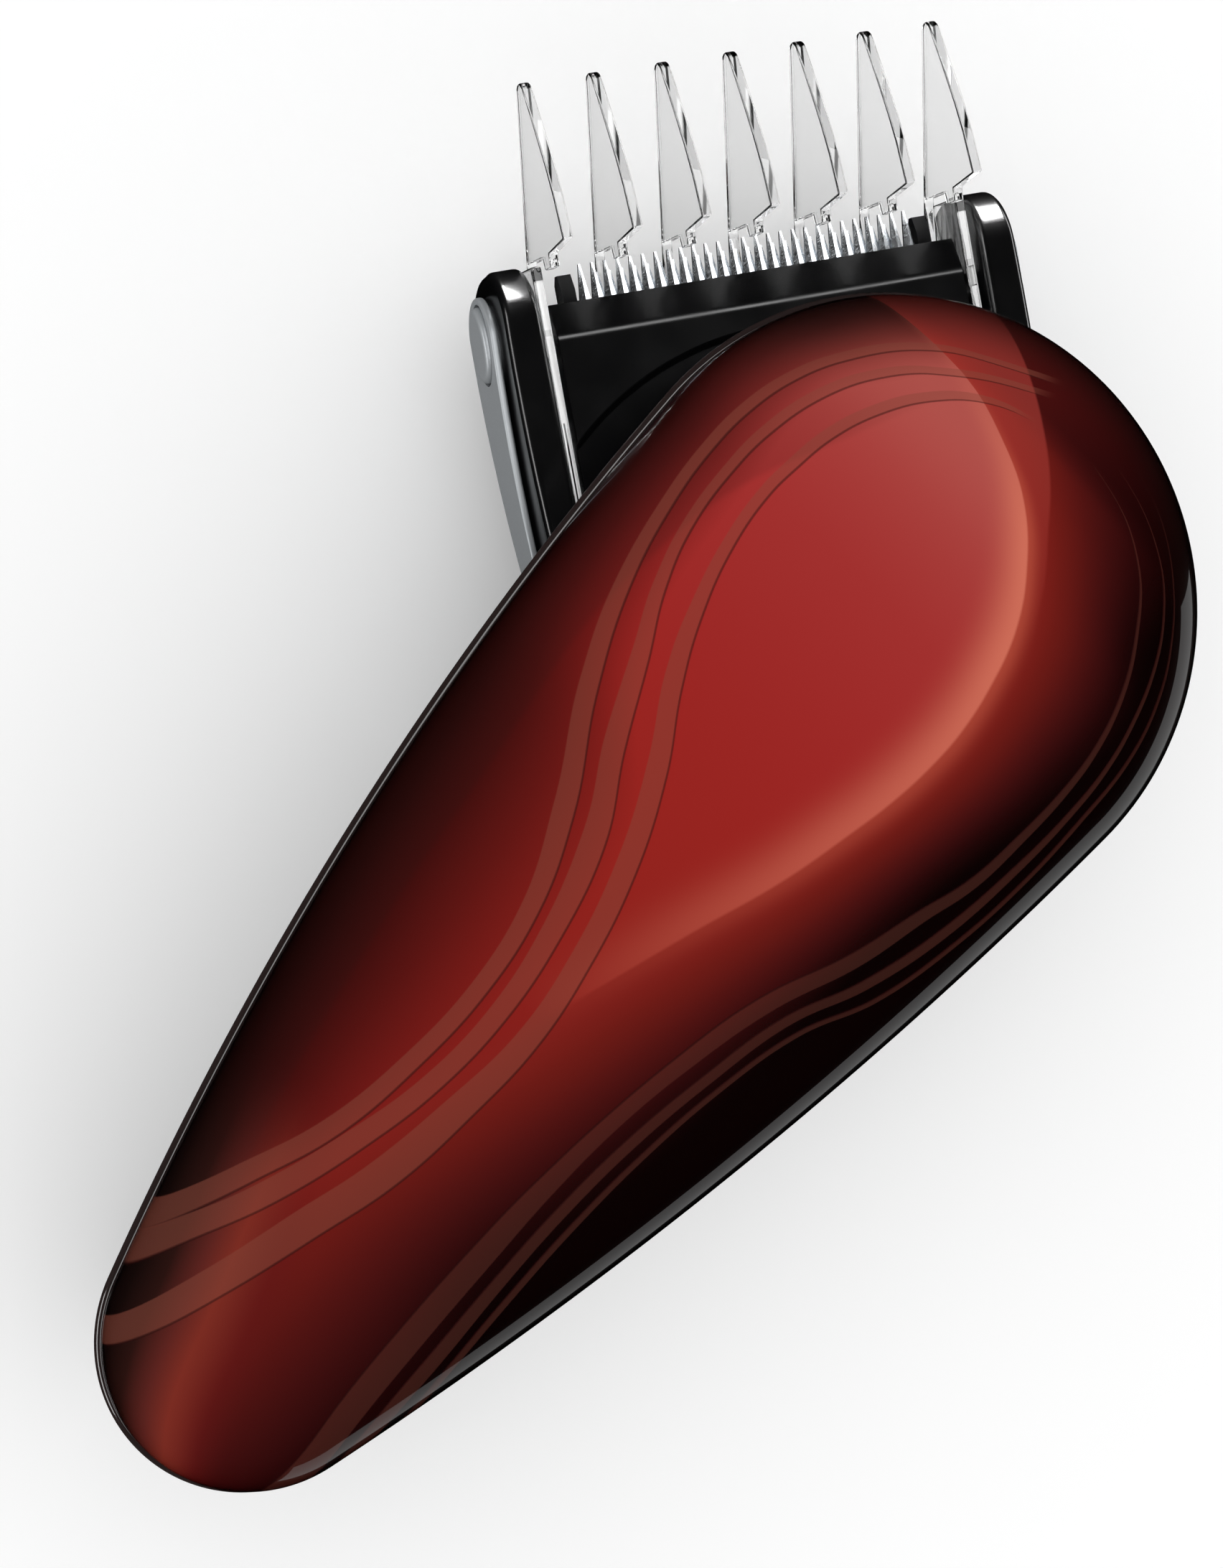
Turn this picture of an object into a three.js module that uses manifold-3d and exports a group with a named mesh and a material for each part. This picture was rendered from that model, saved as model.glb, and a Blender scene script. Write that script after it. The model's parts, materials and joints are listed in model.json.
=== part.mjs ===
// Self-use hair clipper: a palm-held, teardrop body whose cutting head swivels through half a turn,
// with a sliding comb on the head. Millimetres, +Z up, the clipper lying on its back.
// Origin: on the swivel axis, at the flat back of the head's drum. +Y runs along the body to its wide end.
import * as THREE from "three";
import { mergeVertices } from "three/addons/utils/BufferGeometryUtils.js";
import Module from "manifold-3d";

const wasm = await Module();
wasm.setup();

// ---- Driving dimensions ----
const GAP = 0.3; // clearance between touching pieces
const WALL = 1.8; // casing wall
// Body outline in plan: two end circles joined by two long flank arcs.
const WIDE_R = 35.2;
const WIDE_Y = 4.6;
const TAIL_R = 16.4;
const TAIL_Y = -101.7;
const LEFT_FLANK_R = 385;
const RIGHT_FLANK_R = 517;
// Body heights.
const RIM_Z = 34; // parting line between the cover and the rear housing
const WIDE_DOME = 15;
const TAIL_DOME = 10.5;
const SHELF_Z = 22.3; // underside of the wide end, above the head
const STEP_Y = -35; // top of the raked wall between the head's swing and the grip
const STEP_RAKE = 5;
const BELLY_Z = 0.6; // rear housing's belly, just above the rubber rest
// Head, in its own frame: +Y points at the teeth.
const HEAD_ANGLE = THREE.MathUtils.degToRad(54);
const DRUM_R = 25;
const HEAD_HALF = 24.6;
const HEAD_TIP = 43.2;
const FACE_Z = 19.2;
const LIP_Z = 17.6;
const PART_Z = 9.4; // head's parting line
const HUB_R = 13.4;
const HEAD_SCREWS = [[-16, 10], [16, 10], [0, -19.5]];
const PIVOT_Y = 21; // drive lever's pivot
const PIN_R = 0.9;
// Blades.
const BLADE_W = 41;
const TEETH = 27;
const BLADE_TIP = 47.3;
const BLADE_Z = 15.9;
const BLADE_T = 0.7;
// Comb.
const FINS = 7;
const FIN_PITCH = 8.1;
const FIN_T = 1.2;
const RAIL_U = 25.0;
const ARM_U = 26.6;

// ---- Materials ----
const material = (color, roughness, metalness = 0, opacity = 1) =>
  new THREE.MeshStandardMaterial({ color, roughness, metalness, opacity, transparent: opacity < 1 });
const redGloss = material(0x8c1a18, 0.08);
const printedRed = material(0x6e1513, 0.35);
const clearTrim = material(0xb9b2b0, 0.15);
const blackGloss = material(0x0d0d0e, 0.15);
const blackSatin = material(0x17171a, 0.5);
const softRubber = material(0x232326, 0.85);
const clearPlastic = material(0xe8efef, 0.05, 0, 0.35);
const silverPlate = material(0xb4b8bb, 0.4, 0.6);
const steel = material(0xc9ccd0, 0.25, 1);
const brass = material(0xb58f43, 0.35, 1);
const boardGreen = material(0x1f5a33, 0.6);
const cellWrap = material(0x3f6fae, 0.45);
const nylon = material(0xe9e6dc, 0.5);

// ---- Solids ----
function solid(geometry) {
  const g = (geometry.index ? geometry.toNonIndexed() : geometry.clone());
  g.deleteAttribute("normal");
  g.deleteAttribute("uv");
  const merged = mergeVertices(g, 1e-4);
  const index = merged.index.array;
  const kept = [];
  for (let i = 0; i < index.length; i += 3) {
    const [a, b, c] = [index[i], index[i + 1], index[i + 2]];
    if (a !== b && b !== c && a !== c) kept.push(a, b, c);
  }
  const vertProperties = merged.attributes.position.array;
  return new wasm.Manifold(new wasm.Mesh({ numProp: 3, vertProperties, triVerts: new Uint32Array(kept) }));
}

function geometryOf(manifold) {
  const m = manifold.getMesh();
  const points = new Float32Array(m.numVert * 3);
  for (let i = 0; i < m.numVert; i++) {
    points.set(m.vertProperties.subarray(i * m.numProp, i * m.numProp + 3), i * 3);
  }
  const g = new THREE.BufferGeometry();
  g.setAttribute("position", new THREE.BufferAttribute(points, 3));
  g.setIndex(new THREE.BufferAttribute(m.triVerts, 1));
  return g;
}

const shapeOf = (points) => new THREE.Shape(points.map(([x, y]) => new THREE.Vector2(x, y)));

// A flat outline given by [x, y], raised from z0 to z1.
function prism(points, z0, z1) {
  const g = new THREE.ExtrudeGeometry(shapeOf(points), { depth: z1 - z0, bevelEnabled: false });
  return solid(g.translate(0, 0, z0));
}

// A side outline given by [y, z], from x0 to x1.
function sidePrism(points, x0, x1) {
  const g = new THREE.ExtrudeGeometry(shapeOf(points), { depth: x1 - x0, bevelEnabled: false });
  const turn = new THREE.Matrix4().makeBasis(
    new THREE.Vector3(0, 1, 0), new THREE.Vector3(0, 0, 1), new THREE.Vector3(1, 0, 0));
  return solid(g.applyMatrix4(turn).translate(x0, 0, 0));
}

// An end-on outline given by [x, z], from y0 to y1.
function endPrism(points, y0, y1) {
  const g = new THREE.ExtrudeGeometry(shapeOf(points), { depth: y1 - y0, bevelEnabled: false });
  return solid(g.rotateX(Math.PI / 2).translate(0, y1, 0));
}

function block(x0, x1, y0, y1, z0, z1) {
  const g = new THREE.BoxGeometry(x1 - x0, y1 - y0, z1 - z0);
  return solid(g.translate((x0 + x1) / 2, (y0 + y1) / 2, (z0 + z1) / 2));
}

// An upright round bar or cone frustum.
function round(r, z0, z1, x = 0, y = 0, sides = 32, topR = r) {
  const g = new THREE.CylinderGeometry(topR, r, z1 - z0, sides);
  return solid(g.rotateX(Math.PI / 2).translate(x, y, (z0 + z1) / 2));
}

// A round bar along Y.
function barY(r, y0, y1, x, z, sides = 20) {
  const g = new THREE.CylinderGeometry(r, r, y1 - y0, sides);
  return solid(g.translate(x, (y0 + y1) / 2, z));
}

const ring = (outer, inner, z0, z1, sides = 40) =>
  round(outer, z0, z1, 0, 0, sides).subtract(round(inner, z0 - 1, z1 + 1, 0, 0, sides));

// An upright cross-head screw with its head lowest, at z.
function screw(x, y, z, length) {
  const body = round(2.1, z, z + 1.4, x, y, 16).add(round(1, z + 1.2, z + 1.4 + length, x, y, 10));
  const [wide, thin] = [1.2, 0.25];
  return body.subtract(block(x - wide, x + wide, y - thin, y + thin, z - 1, z + 0.7))
    .subtract(block(x - thin, x + thin, y - wide, y + wide, z - 1, z + 0.7));
}

// Arc points round a centre, angles in degrees, ends included.
function arc(cx, cy, r, from, to, steps) {
  return Array.from({ length: steps + 1 }, (_, i) => {
    const a = THREE.MathUtils.degToRad(from + ((to - from) * i) / steps);
    return [cx + r * Math.cos(a), cy + r * Math.sin(a)];
  });
}

// ---- Body outline ----
const [WIDE_STEPS, FLANK_STEPS, TAIL_STEPS] = [18, 8, 10];

// Centre of the flank arc that both end circles touch from inside; side is +1 for the right flank.
function flankCentre(radius, side) {
  const [a, b, d] = [radius - WIDE_R, radius - TAIL_R, WIDE_Y - TAIL_Y];
  const along = (a * a - b * b + d * d) / (2 * d);
  return [-side * Math.sqrt(a * a - along * along), WIDE_Y - along];
}
const rightCentre = flankCentre(RIGHT_FLANK_R, 1);
const leftCentre = flankCentre(LEFT_FLANK_R, -1);
const normalTo = (centre, y) => Math.atan2(y - centre[1], -centre[0]);
const TURN = 2 * Math.PI;
const stretches = [
  { centre: [0, WIDE_Y], r: WIDE_R, from: normalTo(rightCentre, WIDE_Y), to: normalTo(leftCentre, WIDE_Y),
    steps: WIDE_STEPS, spine: () => WIDE_Y },
  { centre: leftCentre, r: LEFT_FLANK_R,
    from: normalTo(leftCentre, WIDE_Y), to: normalTo(leftCentre, TAIL_Y),
    steps: FLANK_STEPS, spine: (t) => WIDE_Y + (TAIL_Y - WIDE_Y) * t },
  { centre: [0, TAIL_Y], r: TAIL_R,
    from: normalTo(leftCentre, TAIL_Y), to: normalTo(rightCentre, TAIL_Y) + TURN,
    steps: TAIL_STEPS, spine: () => TAIL_Y },
  { centre: rightCentre, r: RIGHT_FLANK_R,
    from: normalTo(rightCentre, TAIL_Y), to: normalTo(rightCentre, WIDE_Y),
    steps: FLANK_STEPS, spine: (t) => TAIL_Y + (WIDE_Y - TAIL_Y) * t },
];

// Points round the body at an inward offset, moved a share of the way to the spine line.
function outline(offset, share, height) {
  return stretches.flatMap(({ centre, r, from, to, steps, spine }) => {
    const sweep = ((to - from) % TURN + TURN) % TURN;
    return Array.from({ length: steps }, (_, i) => {
      const t = i / steps;
      const a = from + sweep * t;
      const sy = spine(t);
      const x = centre[0] + (r - offset) * Math.cos(a);
      const y = centre[1] + (r - offset) * Math.sin(a);
      return [x * (1 - share), y + (sy - y) * share, height(sy)];
    });
  });
}

// A closed surface through rings of points, first and last rings collapsed onto the spine.
function loft(rings) {
  const n = rings[0].length;
  const points = [];
  for (let k = 0; k + 1 < rings.length; k++) {
    for (let i = 0; i < n; i++) {
      const j = (i + 1) % n;
      const [a, b, c, d] = [rings[k][i], rings[k][j], rings[k + 1][j], rings[k + 1][i]];
      points.push(...a, ...b, ...c, ...a, ...c, ...d);
    }
  }
  const g = new THREE.BufferGeometry();
  g.setAttribute("position", new THREE.Float32BufferAttribute(points, 3));
  return solid(g);
}

// ---- Body casings ----
const SHARES = [0, 0.02, 0.07, 0.15, 0.27, 0.45, 0.7, 1];
const crown = (share) => Math.sqrt(1 - (1 - share) ** 2.2);
const domeHeight = (y) => TAIL_DOME + ((WIDE_DOME - TAIL_DOME) * (y - TAIL_Y)) / (WIDE_Y - TAIL_Y);

// Rings of a crowned top, from its edge at z0 up to its ridge.
const domeRings = (offset, z0, drop) =>
  SHARES.map((s) => outline(offset, s, (y) => z0 + (domeHeight(y) - drop) * crown(s)));

// A crowned shell, open underneath.
function domeShell(offset, z0, drop, wall) {
  const outer = domeRings(offset, z0 + 1.2, drop);
  const inner = domeRings(offset + wall, z0 + 1.2, drop + wall);
  const foot = [outline(offset + wall, 0, () => z0), outline(offset, 0, () => z0)];
  return loft([...inner.reverse(), ...foot, ...outer]);
}

// The rear housing's form: sides that draw in below the rim and roll into a flat belly.
function bellyForm(inset, top, bottom) {
  const roll = 6.5;
  const draw = (z) => 0.3 * (RIM_Z - z);
  const levels = [];
  for (let i = 0; i <= 5; i++) {
    const a = (i / 5) * (Math.PI / 2);
    const z = bottom + roll * (1 - Math.cos(a));
    levels.push([draw(bottom + roll) + roll * (1 - Math.sin(a)) * 0.9, z]);
  }
  levels.push([draw(top), top]);
  const rings = levels.map(([o, z]) => outline(o + inset, 0, () => z));
  const [low, high] = [levels[0], levels[levels.length - 1]];
  return loft([outline(low[0] + inset, 1, () => bottom), ...rings, outline(high[0] + inset, 1, () => top)]);
}

function topCover() {
  return domeShell(0.5, RIM_Z + GAP, 0, WALL);
}

function frontHousing() {
  return domeShell(0.5 + WALL + GAP, RIM_Z + GAP, WALL + GAP + 0.4, 1.4);
}

function trimRing() {
  const outer = [RIM_Z - 1.4, RIM_Z].map((z) => outline(0, 0, () => z));
  const inner = [RIM_Z, RIM_Z - 1.4].map((z) => outline(4.4, 0, () => z));
  const rings = [...outer, ...inner];
  return loft([...rings, outer[0]]);
}

const SOCKET_Z = 12;
const SOCKET_R = 1.8;
const LIGHT_Z = 21;
const SLIDER_Y = -51.5; // middle of the knob when it is off
const SLIDER_TRAVEL = 5;
const SLIDER_HALF = 2.9;
const HOUSING_SCREWS = [[-9.4, -46], [9.4, -46]];

// The room that the head swings in: below the shelf and in front of the raked step.
function swingRoom(wall) {
  const [y, z] = [STEP_Y - wall, SHELF_Z + wall];
  return sidePrism([[y, z], [60, z], [60, -5], [y - STEP_RAKE, -5]], -60, 60);
}

function rearHousing() {
  const top = RIM_Z - 1.4 - GAP;
  const inside = bellyForm(WALL, top + 5, BELLY_Z + WALL).subtract(swingRoom(WALL));
  let casing = bellyForm(0.4, top, BELLY_Z).subtract(swingRoom(0)).subtract(inside);
  const [wellBack, wellFront] = [SLIDER_Y - SLIDER_HALF - 0.6, SLIDER_Y + SLIDER_HALF + SLIDER_TRAVEL + 0.6];
  casing = casing.add(block(-7, 7, wellBack - 1, wellFront, BELLY_Z + 1, 3.4));
  for (const [x, y] of HOUSING_SCREWS) casing = casing.add(round(2.5, BELLY_Z + 1, 24, x, y, 16));
  const cuts = [
    round(HUB_R + GAP, SHELF_Z - 1, SHELF_Z + WALL + 1, 0, 0, 40), // swivel bearing
    barY(SOCKET_R + 0.3, -125, -104, 0, SOCKET_Z), // charging socket's mouth
    barY(1.5, -125, -104, 0, LIGHT_Z, 16), // charging light
    block(-5.2, 5.2, wellBack, wellFront, -1, 2), // slider's well
    block(-1.9, 1.9, SLIDER_Y, wellFront - 0.6, 0, 8), // slider's slot
    prism(gripOutline(GAP), -1, BELLY_Z + 0.7), // grip's seat
    ...HOUSING_SCREWS.flatMap(([x, y]) => [round(2.4, -1, 4.4, x, y, 16), round(1.2, 0, 25, x, y, 12)]),
  ];
  for (const cut of cuts) casing = casing.subtract(cut);
  return casing;
}

// The rubber rest on the belly, narrowing towards the tail.
function gripOutline(grow) {
  const [half0, half1, y0, y1] = [9.5, 4.4, -68.5, -101];
  return [...arc(0, y1, half1 + grow, 180, 360, 10), ...arc(0, y0, half0 + grow, 0, 180, 14)];
}

function gripPad() {
  let pad = prism(gripOutline(0), 0, BELLY_Z + 0.7 - GAP);
  for (let y = -98; y < -62; y += 4) pad = pad.subtract(block(-12, 12, y, y + 0.9, -1, 0.35));
  return pad;
}

// ---- Parts inside the body ----
const CELL_R = 7.1;
const CELLS = [["battery_lower", 12.2], ["battery_upper", 27.0]];

function battery(z) {
  return barY(CELL_R, -99, -51.6, 0, z, 24).add(barY(2.6, -51.7, -50.6, 0, z, 12));
}

// A pressed contact plate that bridges both cells at one end.
function cellContact(y0, y1) {
  const [low, high] = [CELLS[0][1] - 4, CELLS[1][1] + 4];
  return block(-4, 4, y0, y1, low, high).subtract(block(-2, 2, y0 - 1, y1 + 1, 18.2, 21));
}

function circuitBoard() {
  const board = prism([[-9, -96], [9, -96], [14, -30], [-14, -30]], 35.6, 36.8);
  const chips = [[-4, 4, -60, -54], [-6, -1, -80, -74], [3, 7, -72, -66], [-3, 6, -44, -38]];
  return chips.reduce((b, [x0, x1, y0, y1]) => b.add(block(x0, x1, y0, y1, 36.6, 38.4)), board);
}

// A barrel socket with its centre pin.
function chargingJack() {
  const shell = block(-4.2, 4.2, -113, -103, 8, 16).subtract(barY(SOCKET_R, -114, -104.5, 0, SOCKET_Z));
  return shell.add(barY(0.6, -110, -104, 0, SOCKET_Z, 10)).intersect(jackRoom());
}

// The space behind the tail wall that the jack and light pipe may fill.
const jackRoom = () => bellyForm(WALL + 0.4 + GAP, RIM_Z, BELLY_Z + WALL + GAP);

function lightPipe() {
  const stem = barY(1.15, -118, -102, 0, LIGHT_Z, 14);
  const flange = barY(1.9, -108, -102, 0, LIGHT_Z, 14);
  return stem.intersect(bellyForm(0.4, RIM_Z, BELLY_Z)).add(flange.intersect(jackRoom()));
}

const switchBlock = () => block(-5, 5, -49.4, -41, 4.9, 10);

const MOTOR_Z = [30.6, 43.2];

function motor() {
  const can = round(12, MOTOR_Z[0], MOTOR_Z[1], 0, 0, 40);
  const bush = round(3.4, MOTOR_Z[0] - 1.4, MOTOR_Z[0] + 0.1, 0, 0, 20);
  const tabs = [-5, 5].map((x) => block(x - 1, x + 1, -2, 2, 43.1, 44.2));
  const bore = round(1.3, MOTOR_Z[0] - 2, MOTOR_Z[0] + 4, 0, 0, 16);
  return can.add(bush).add(tabs[0]).add(tabs[1]).subtract(bore);
}

function motorBracket() {
  const plate = round(22.4, 28.9, 30.3, 0, 0, 36);
  const legs = [30, 150, 270].map((deg) => {
    const a = THREE.MathUtils.degToRad(deg);
    return round(2.2, SHELF_Z + WALL + GAP, 29, 20 * Math.cos(a), 20 * Math.sin(a), 12);
  });
  return legs.reduce((all, leg) => all.add(leg), plate).subtract(round(3.4 + GAP, 28, 31, 0, 0, 20));
}

// Leaf spring that gives the swivel its clicks.
function clickSpring() {
  const leaf = prism([...arc(0, 0, 18.9, 60, 120, 10), ...arc(0, 0, 18.4, 120, 60, 10)], 25.4, 27.6);
  return leaf.add(block(-1, 1, 17.7, 18.6, 25.4, 27.6));
}

// ---- Power slider ----
function powerSlider() {
  const knob = block(-4.6, 4.6, SLIDER_Y - SLIDER_HALF, SLIDER_Y + SLIDER_HALF, 0.5, 1.6);
  const stem = block(-1.5, 1.5, SLIDER_Y + 0.4, SLIDER_Y + 2.4, 1.5, 4.4);
  return [-2, -0.6, 0.8, 2.2].reduce(
    (all, y) => all.add(block(-3.6, 3.6, SLIDER_Y + y - 0.3, SLIDER_Y + y + 0.3, 0.15, 0.6)), knob.add(stem));
}

// ---- Motor shaft ----
const ECCENTRIC = 1.2;
const SHAFT_R = 1;
const motorShaft = () => round(SHAFT_R, 17.2, 33.4, 0, 0, 16);

// A hub pressed on the shaft, with an off-centre pin under it.
function eccentricCam() {
  const hub = round(3.2, 16.2, 21.4, 0, 0, 24).subtract(round(SHAFT_R + GAP, 16.9, 22, 0, 0, 16));
  return hub.add(round(1.1, 12.2, 16.4, ECCENTRIC, 0, 14));
}

// ---- Head ----
// Plan of the head: a drum with a straight-sided block in front of it.
function headPlan(inset, tip) {
  const r = DRUM_R - inset;
  const half = HEAD_HALF - inset;
  const meet = THREE.MathUtils.radToDeg(Math.acos(half / r));
  return [...arc(0, 0, r, 180 - meet, 360 + meet, 40), [half, tip], [-half, tip]];
}

function headHousing() {
  const bevel = sidePrism([[-30, PART_Z], [36.9, PART_Z], [36.9, 13.4], [HEAD_TIP, 13.4 + 3.4],
    [HEAD_TIP, LIP_Z], [39.4, FACE_Z], [-30, FACE_Z]], -30, 30);
  let casing = prism(headPlan(0, HEAD_TIP), PART_Z, FACE_Z + 1).intersect(bevel);
  const room = sidePrism([[-30, PART_Z - 1], [35.2, PART_Z - 1], [35.2, 12], [50, 12], [50, 16.9],
    [38.5, 16.9], [36, FACE_Z - WALL], [-30, FACE_Z - WALL]], -30, 30);
  casing = casing.subtract(prism(headPlan(WALL, 60), PART_Z - 1, FACE_Z + 1).intersect(room));
  casing = casing.subtract(ring(36.6, 14, FACE_Z - 0.7, FACE_Z + 1, 72)); // step that clears the body's rim
  const shelfTop = SHELF_Z + WALL;
  const clipGroove = ring(HUB_R + 1, HUB_R - 1, shelfTop + 0.2, shelfTop + 1.7);
  const hub = round(HUB_R, FACE_Z - 1.2, shelfTop + 3, 0, 0, 40).subtract(clipGroove);
  casing = casing.add(hub).subtract(round(HUB_R - 2.6, PART_Z, 40, 0, 0, 40));
  const pivotBoss = round(3.4, 15.8, FACE_Z - 1, 0, PIVOT_Y, 20);
  casing = casing.add(pivotBoss).subtract(round(PIN_R + GAP, 10, 17.6, 0, PIVOT_Y, 14));
  for (const side of [-1, 1]) {
    const groove = block(HEAD_HALF - 0.8, HEAD_HALF + 1, 4, HEAD_TIP + 1, 14.6, 16.2);
    casing = casing.subtract(side > 0 ? groove : groove.mirror([1, 0, 0]));
  }
  for (const [x, y] of HEAD_SCREWS) {
    casing = casing.add(round(2.4, PART_Z, FACE_Z - 1, x, y, 14));
    casing = casing.subtract(round(1.05, PART_Z - 1, 15.5, x, y, 10));
  }
  return casing;
}

function headBackCover() {
  const top = PART_Z - GAP;
  const drum = round(DRUM_R - 3, 0, 2.2, 0, 0, 48, DRUM_R).add(round(DRUM_R, 2.1, top, 0, 0, 48));
  const toe = sidePrism([[10, 1.2], [21, 1.2], [36.4, top - 0.3], [36.4, top], [10, top]], -21, 21);
  const room = round(DRUM_R - WALL, WALL, top + 1, 0, 0, 48);
  const toeRoom = sidePrism([[9, 3], [20, 3], [32, top + 1], [9, top + 1]], -19, 19);
  let cover = drum.add(toe).subtract(room).subtract(toeRoom);
  for (const [x, y] of HEAD_SCREWS) {
    cover = cover.add(round(3.4, 1, top, x, y, 16))
      .subtract(round(1.25, -1, top + 1, x, y, 10)).subtract(round(2.4, -1, 3.2, x, y, 16));
  }
  return cover;
}

// Ring that snaps into the hub's groove and keeps the head on the body.
function retainingClip() {
  const z = SHELF_Z + WALL + 0.4;
  return ring(17, HUB_R - 0.6, z, z + 1).subtract(block(-5, 5, -20, 0, 24, 28));
}

const leverPin = () => round(PIN_R, 10.2, 17.2, 0, PIVOT_Y, 14).add(round(1.8, 10.2, 11, 0, PIVOT_Y, 16));

// ---- Drive lever: a fork round the eccentric pin, a pivot, and a nose that drives the blade ----
function driveLever() {
  const fork = [[-1.8, 26], [-5.6, 10], [-5.6, -4.5], [-3.9, -4.5], [-3.9, 5], [3.9, 5], [3.9, -4.5],
    [5.6, -4.5], [5.6, 10], [1.8, 26], [1.8, 34.4], [-1.8, 34.4]];
  const boss = round(3.2, 11.4, 15.4, 0, PIVOT_Y, 20);
  const nose = block(-1.2, 1.2, 34, 41, 13.3, 14);
  return prism(fork, 12.9, 14.4).add(boss).add(nose).subtract(round(PIN_R + 0.2, 11, 16, 0, PIVOT_Y, 16));
}

// ---- Blades ----
// Plan of a toothed blade from its back edge to its tips; root is the bottom of the gaps.
function bladePlan(half, back, root, tip, teeth, tipShare) {
  const pitch = (2 * half) / teeth;
  const points = [[-half, back]];
  for (let i = 0; i < teeth; i++) {
    const x = -half + (i + 0.5) * pitch;
    for (const [share, y] of [[-0.46, root], [-tipShare, tip], [tipShare, tip], [0.46, root]]) {
      points.push([x + share * pitch, y]);
    }
  }
  points.push([half, back]);
  return points;
}

function guardBlade() {
  const plate = prism(bladePlan(BLADE_W / 2, 37.6, 42.6, BLADE_TIP, TEETH, 0.1), BLADE_Z, BLADE_Z + BLADE_T);
  const tapered = [[30, BLADE_Z - 1], [48, BLADE_Z - 1], [48, BLADE_Z + 0.25], [44.4, BLADE_Z + 1],
    [30, BLADE_Z + 1]];
  return plate.intersect(sidePrism(tapered, -22, 22));
}

function movingBlade() {
  const half = BLADE_W / 2 - 2.2;
  const plan = bladePlan(half, 38.6, 42.2, BLADE_TIP - 1.1, TEETH - 3, 0.14);
  return prism(plan, BLADE_Z - BLADE_T - GAP, BLADE_Z - GAP);
}

// Follower fixed under the moving blade, with the slot that the lever's nose works in.
function bladeFollower() {
  const top = BLADE_Z - BLADE_T - 2 * GAP;
  return block(-5, 5, 38.8, 41.4, 13.2, top).subtract(block(-1.7, 1.7, 38, 42, 13, 14.2));
}

// Frame that carries the blades, with an end block beside the outermost tooth on each side.
function cutterFrame() {
  const top = BLADE_Z - GAP;
  let frame = block(-22.5, 22.5, 37.2, 42.4, 13.5, top).subtract(block(-19.9, 19.9, 36, 43, 13, 17));
  frame = frame.add(block(-20, 20, 41.7, 42.4, 13.5, 14)).subtract(block(-6.4, 6.4, 41, 43, 13, 14.6));
  frame = frame.add(block(-20, 20, 37.2, 37.9, 14.4, top));
  for (const x of [-21.6, 21.6]) frame = frame.add(block(x - 0.8, x + 0.8, 42.3, 46.4, 14, BLADE_Z + BLADE_T));
  return frame;
}

const bladeSpring = () => block(-18, -8, 38.6, 41.2, 14.2, 14.5);

// ---- Comb ----
// Side view of a fin, with a rounded tip.
const FIN_PROFILE = [[37.6, 10.2], [42.2, 10.2], ...arc(65.9, 23, 1.5, 305, 425, 5), [55.3, 28.4], [49.2, 29.4],
  [48.4, 22.8], [46.9, 22.4], [46.9, 19.9], [48.3, 19.6], [48.3, 13.6], [47.4, 13.0], [37.6, 13.0]];

function combRack() {
  let rack = block(-RAIL_U - 1.2, RAIL_U + 1.2, 37.6, 40.0, 10.2, 13.0);
  for (let i = 0; i < FINS; i++) {
    const u = (i - (FINS - 1) / 2) * FIN_PITCH;
    rack = rack.add(sidePrism(FIN_PROFILE, u - FIN_T / 2, u + FIN_T / 2));
  }
  for (const side of [-1, 1]) {
    const profile = [[4, 12.4], [36, 10.2], [46.4, 10.2], [47.6, 12], [47.6, 19.4], [4, 18.4]];
    const rail = sidePrism(profile, RAIL_U, RAIL_U + 1.2);
    const rib = block(RAIL_U - 0.7, RAIL_U + 0.3, 5, 30, 15.0, 15.8);
    const both = rail.add(rib);
    rack = rack.add(side > 0 ? both : both.mirror([1, 0, 0]));
  }
  return rack;
}

// Side view of a comb arm: a bar with a rounded end.
const ARM_PROFILE = [[-2, 9.5], ...arc(40.5, 14, 7.3, -75, 0, 6), ...arc(42, 15.5, 6, 0, 90, 7), [14, 21.5],
  [-2, 16.5]];

// Plan of an arm: bowed outside, flat inside.
function armPlan(out) {
  const bow = (v) => 30.9 - 0.0016 * (v - 34) ** 2;
  return [[ARM_U, -4], ...[-4, 4, 12, 20, 28, 36, 44, 50].map((v) => [bow(v) + out, v]), [ARM_U, 50]];
}

// A shape drawn on the +X side, mirrored for the other side.
const onSide = (side, shape) => (side > 0 ? shape : shape.mirror([1, 0, 0]));

function combArm(side) {
  const arm = prism(armPlan(0), 0, 30).intersect(sidePrism(ARM_PROFILE, 20, 40));
  return onSide(side, side < 0 ? arm.subtract(buttonForm(0.35, 27.9)) : arm);
}

// The bright plate on an arm's outer side.
const plateEnd = arc(0, 0, 1, -78, 82, 12).map(([c, s]) => [40.2 + 5.4 * c, 13.7 + 4.8 * s]);
const PLATE_PROFILE = [[2, 10.4], ...plateEnd, [16, 16.4], [2, 13.6]];

function sidePlate(side) {
  const inner = prism(armPlan(GAP), 0, 30).add(block(20, ARM_U + 1, -10, 60, 0, 30));
  const plate = prism(armPlan(1.2), 0, 30).subtract(inner).intersect(sidePrism(PLATE_PROFILE, 20, 40));
  return onSide(side, side < 0 ? plate.subtract(buttonForm(0.35, 28)) : plate);
}

// Oval length-setting button, drawn on the +X side from its foot outwards.
function buttonForm(grow, foot) {
  const [cy, cz, ry, rz] = [40.2, 14.2, 4.3 + grow, 2.9 + grow];
  const oval = Array.from({ length: 20 }, (_, i) => {
    const a = (i / 20) * TURN;
    return [cy + ry * Math.cos(a), cz + rz * Math.sin(a)];
  });
  return sidePrism(oval, foot, 32.6 + grow);
}

const lengthButton = () => onSide(-1, buttonForm(0, 29));

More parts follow.
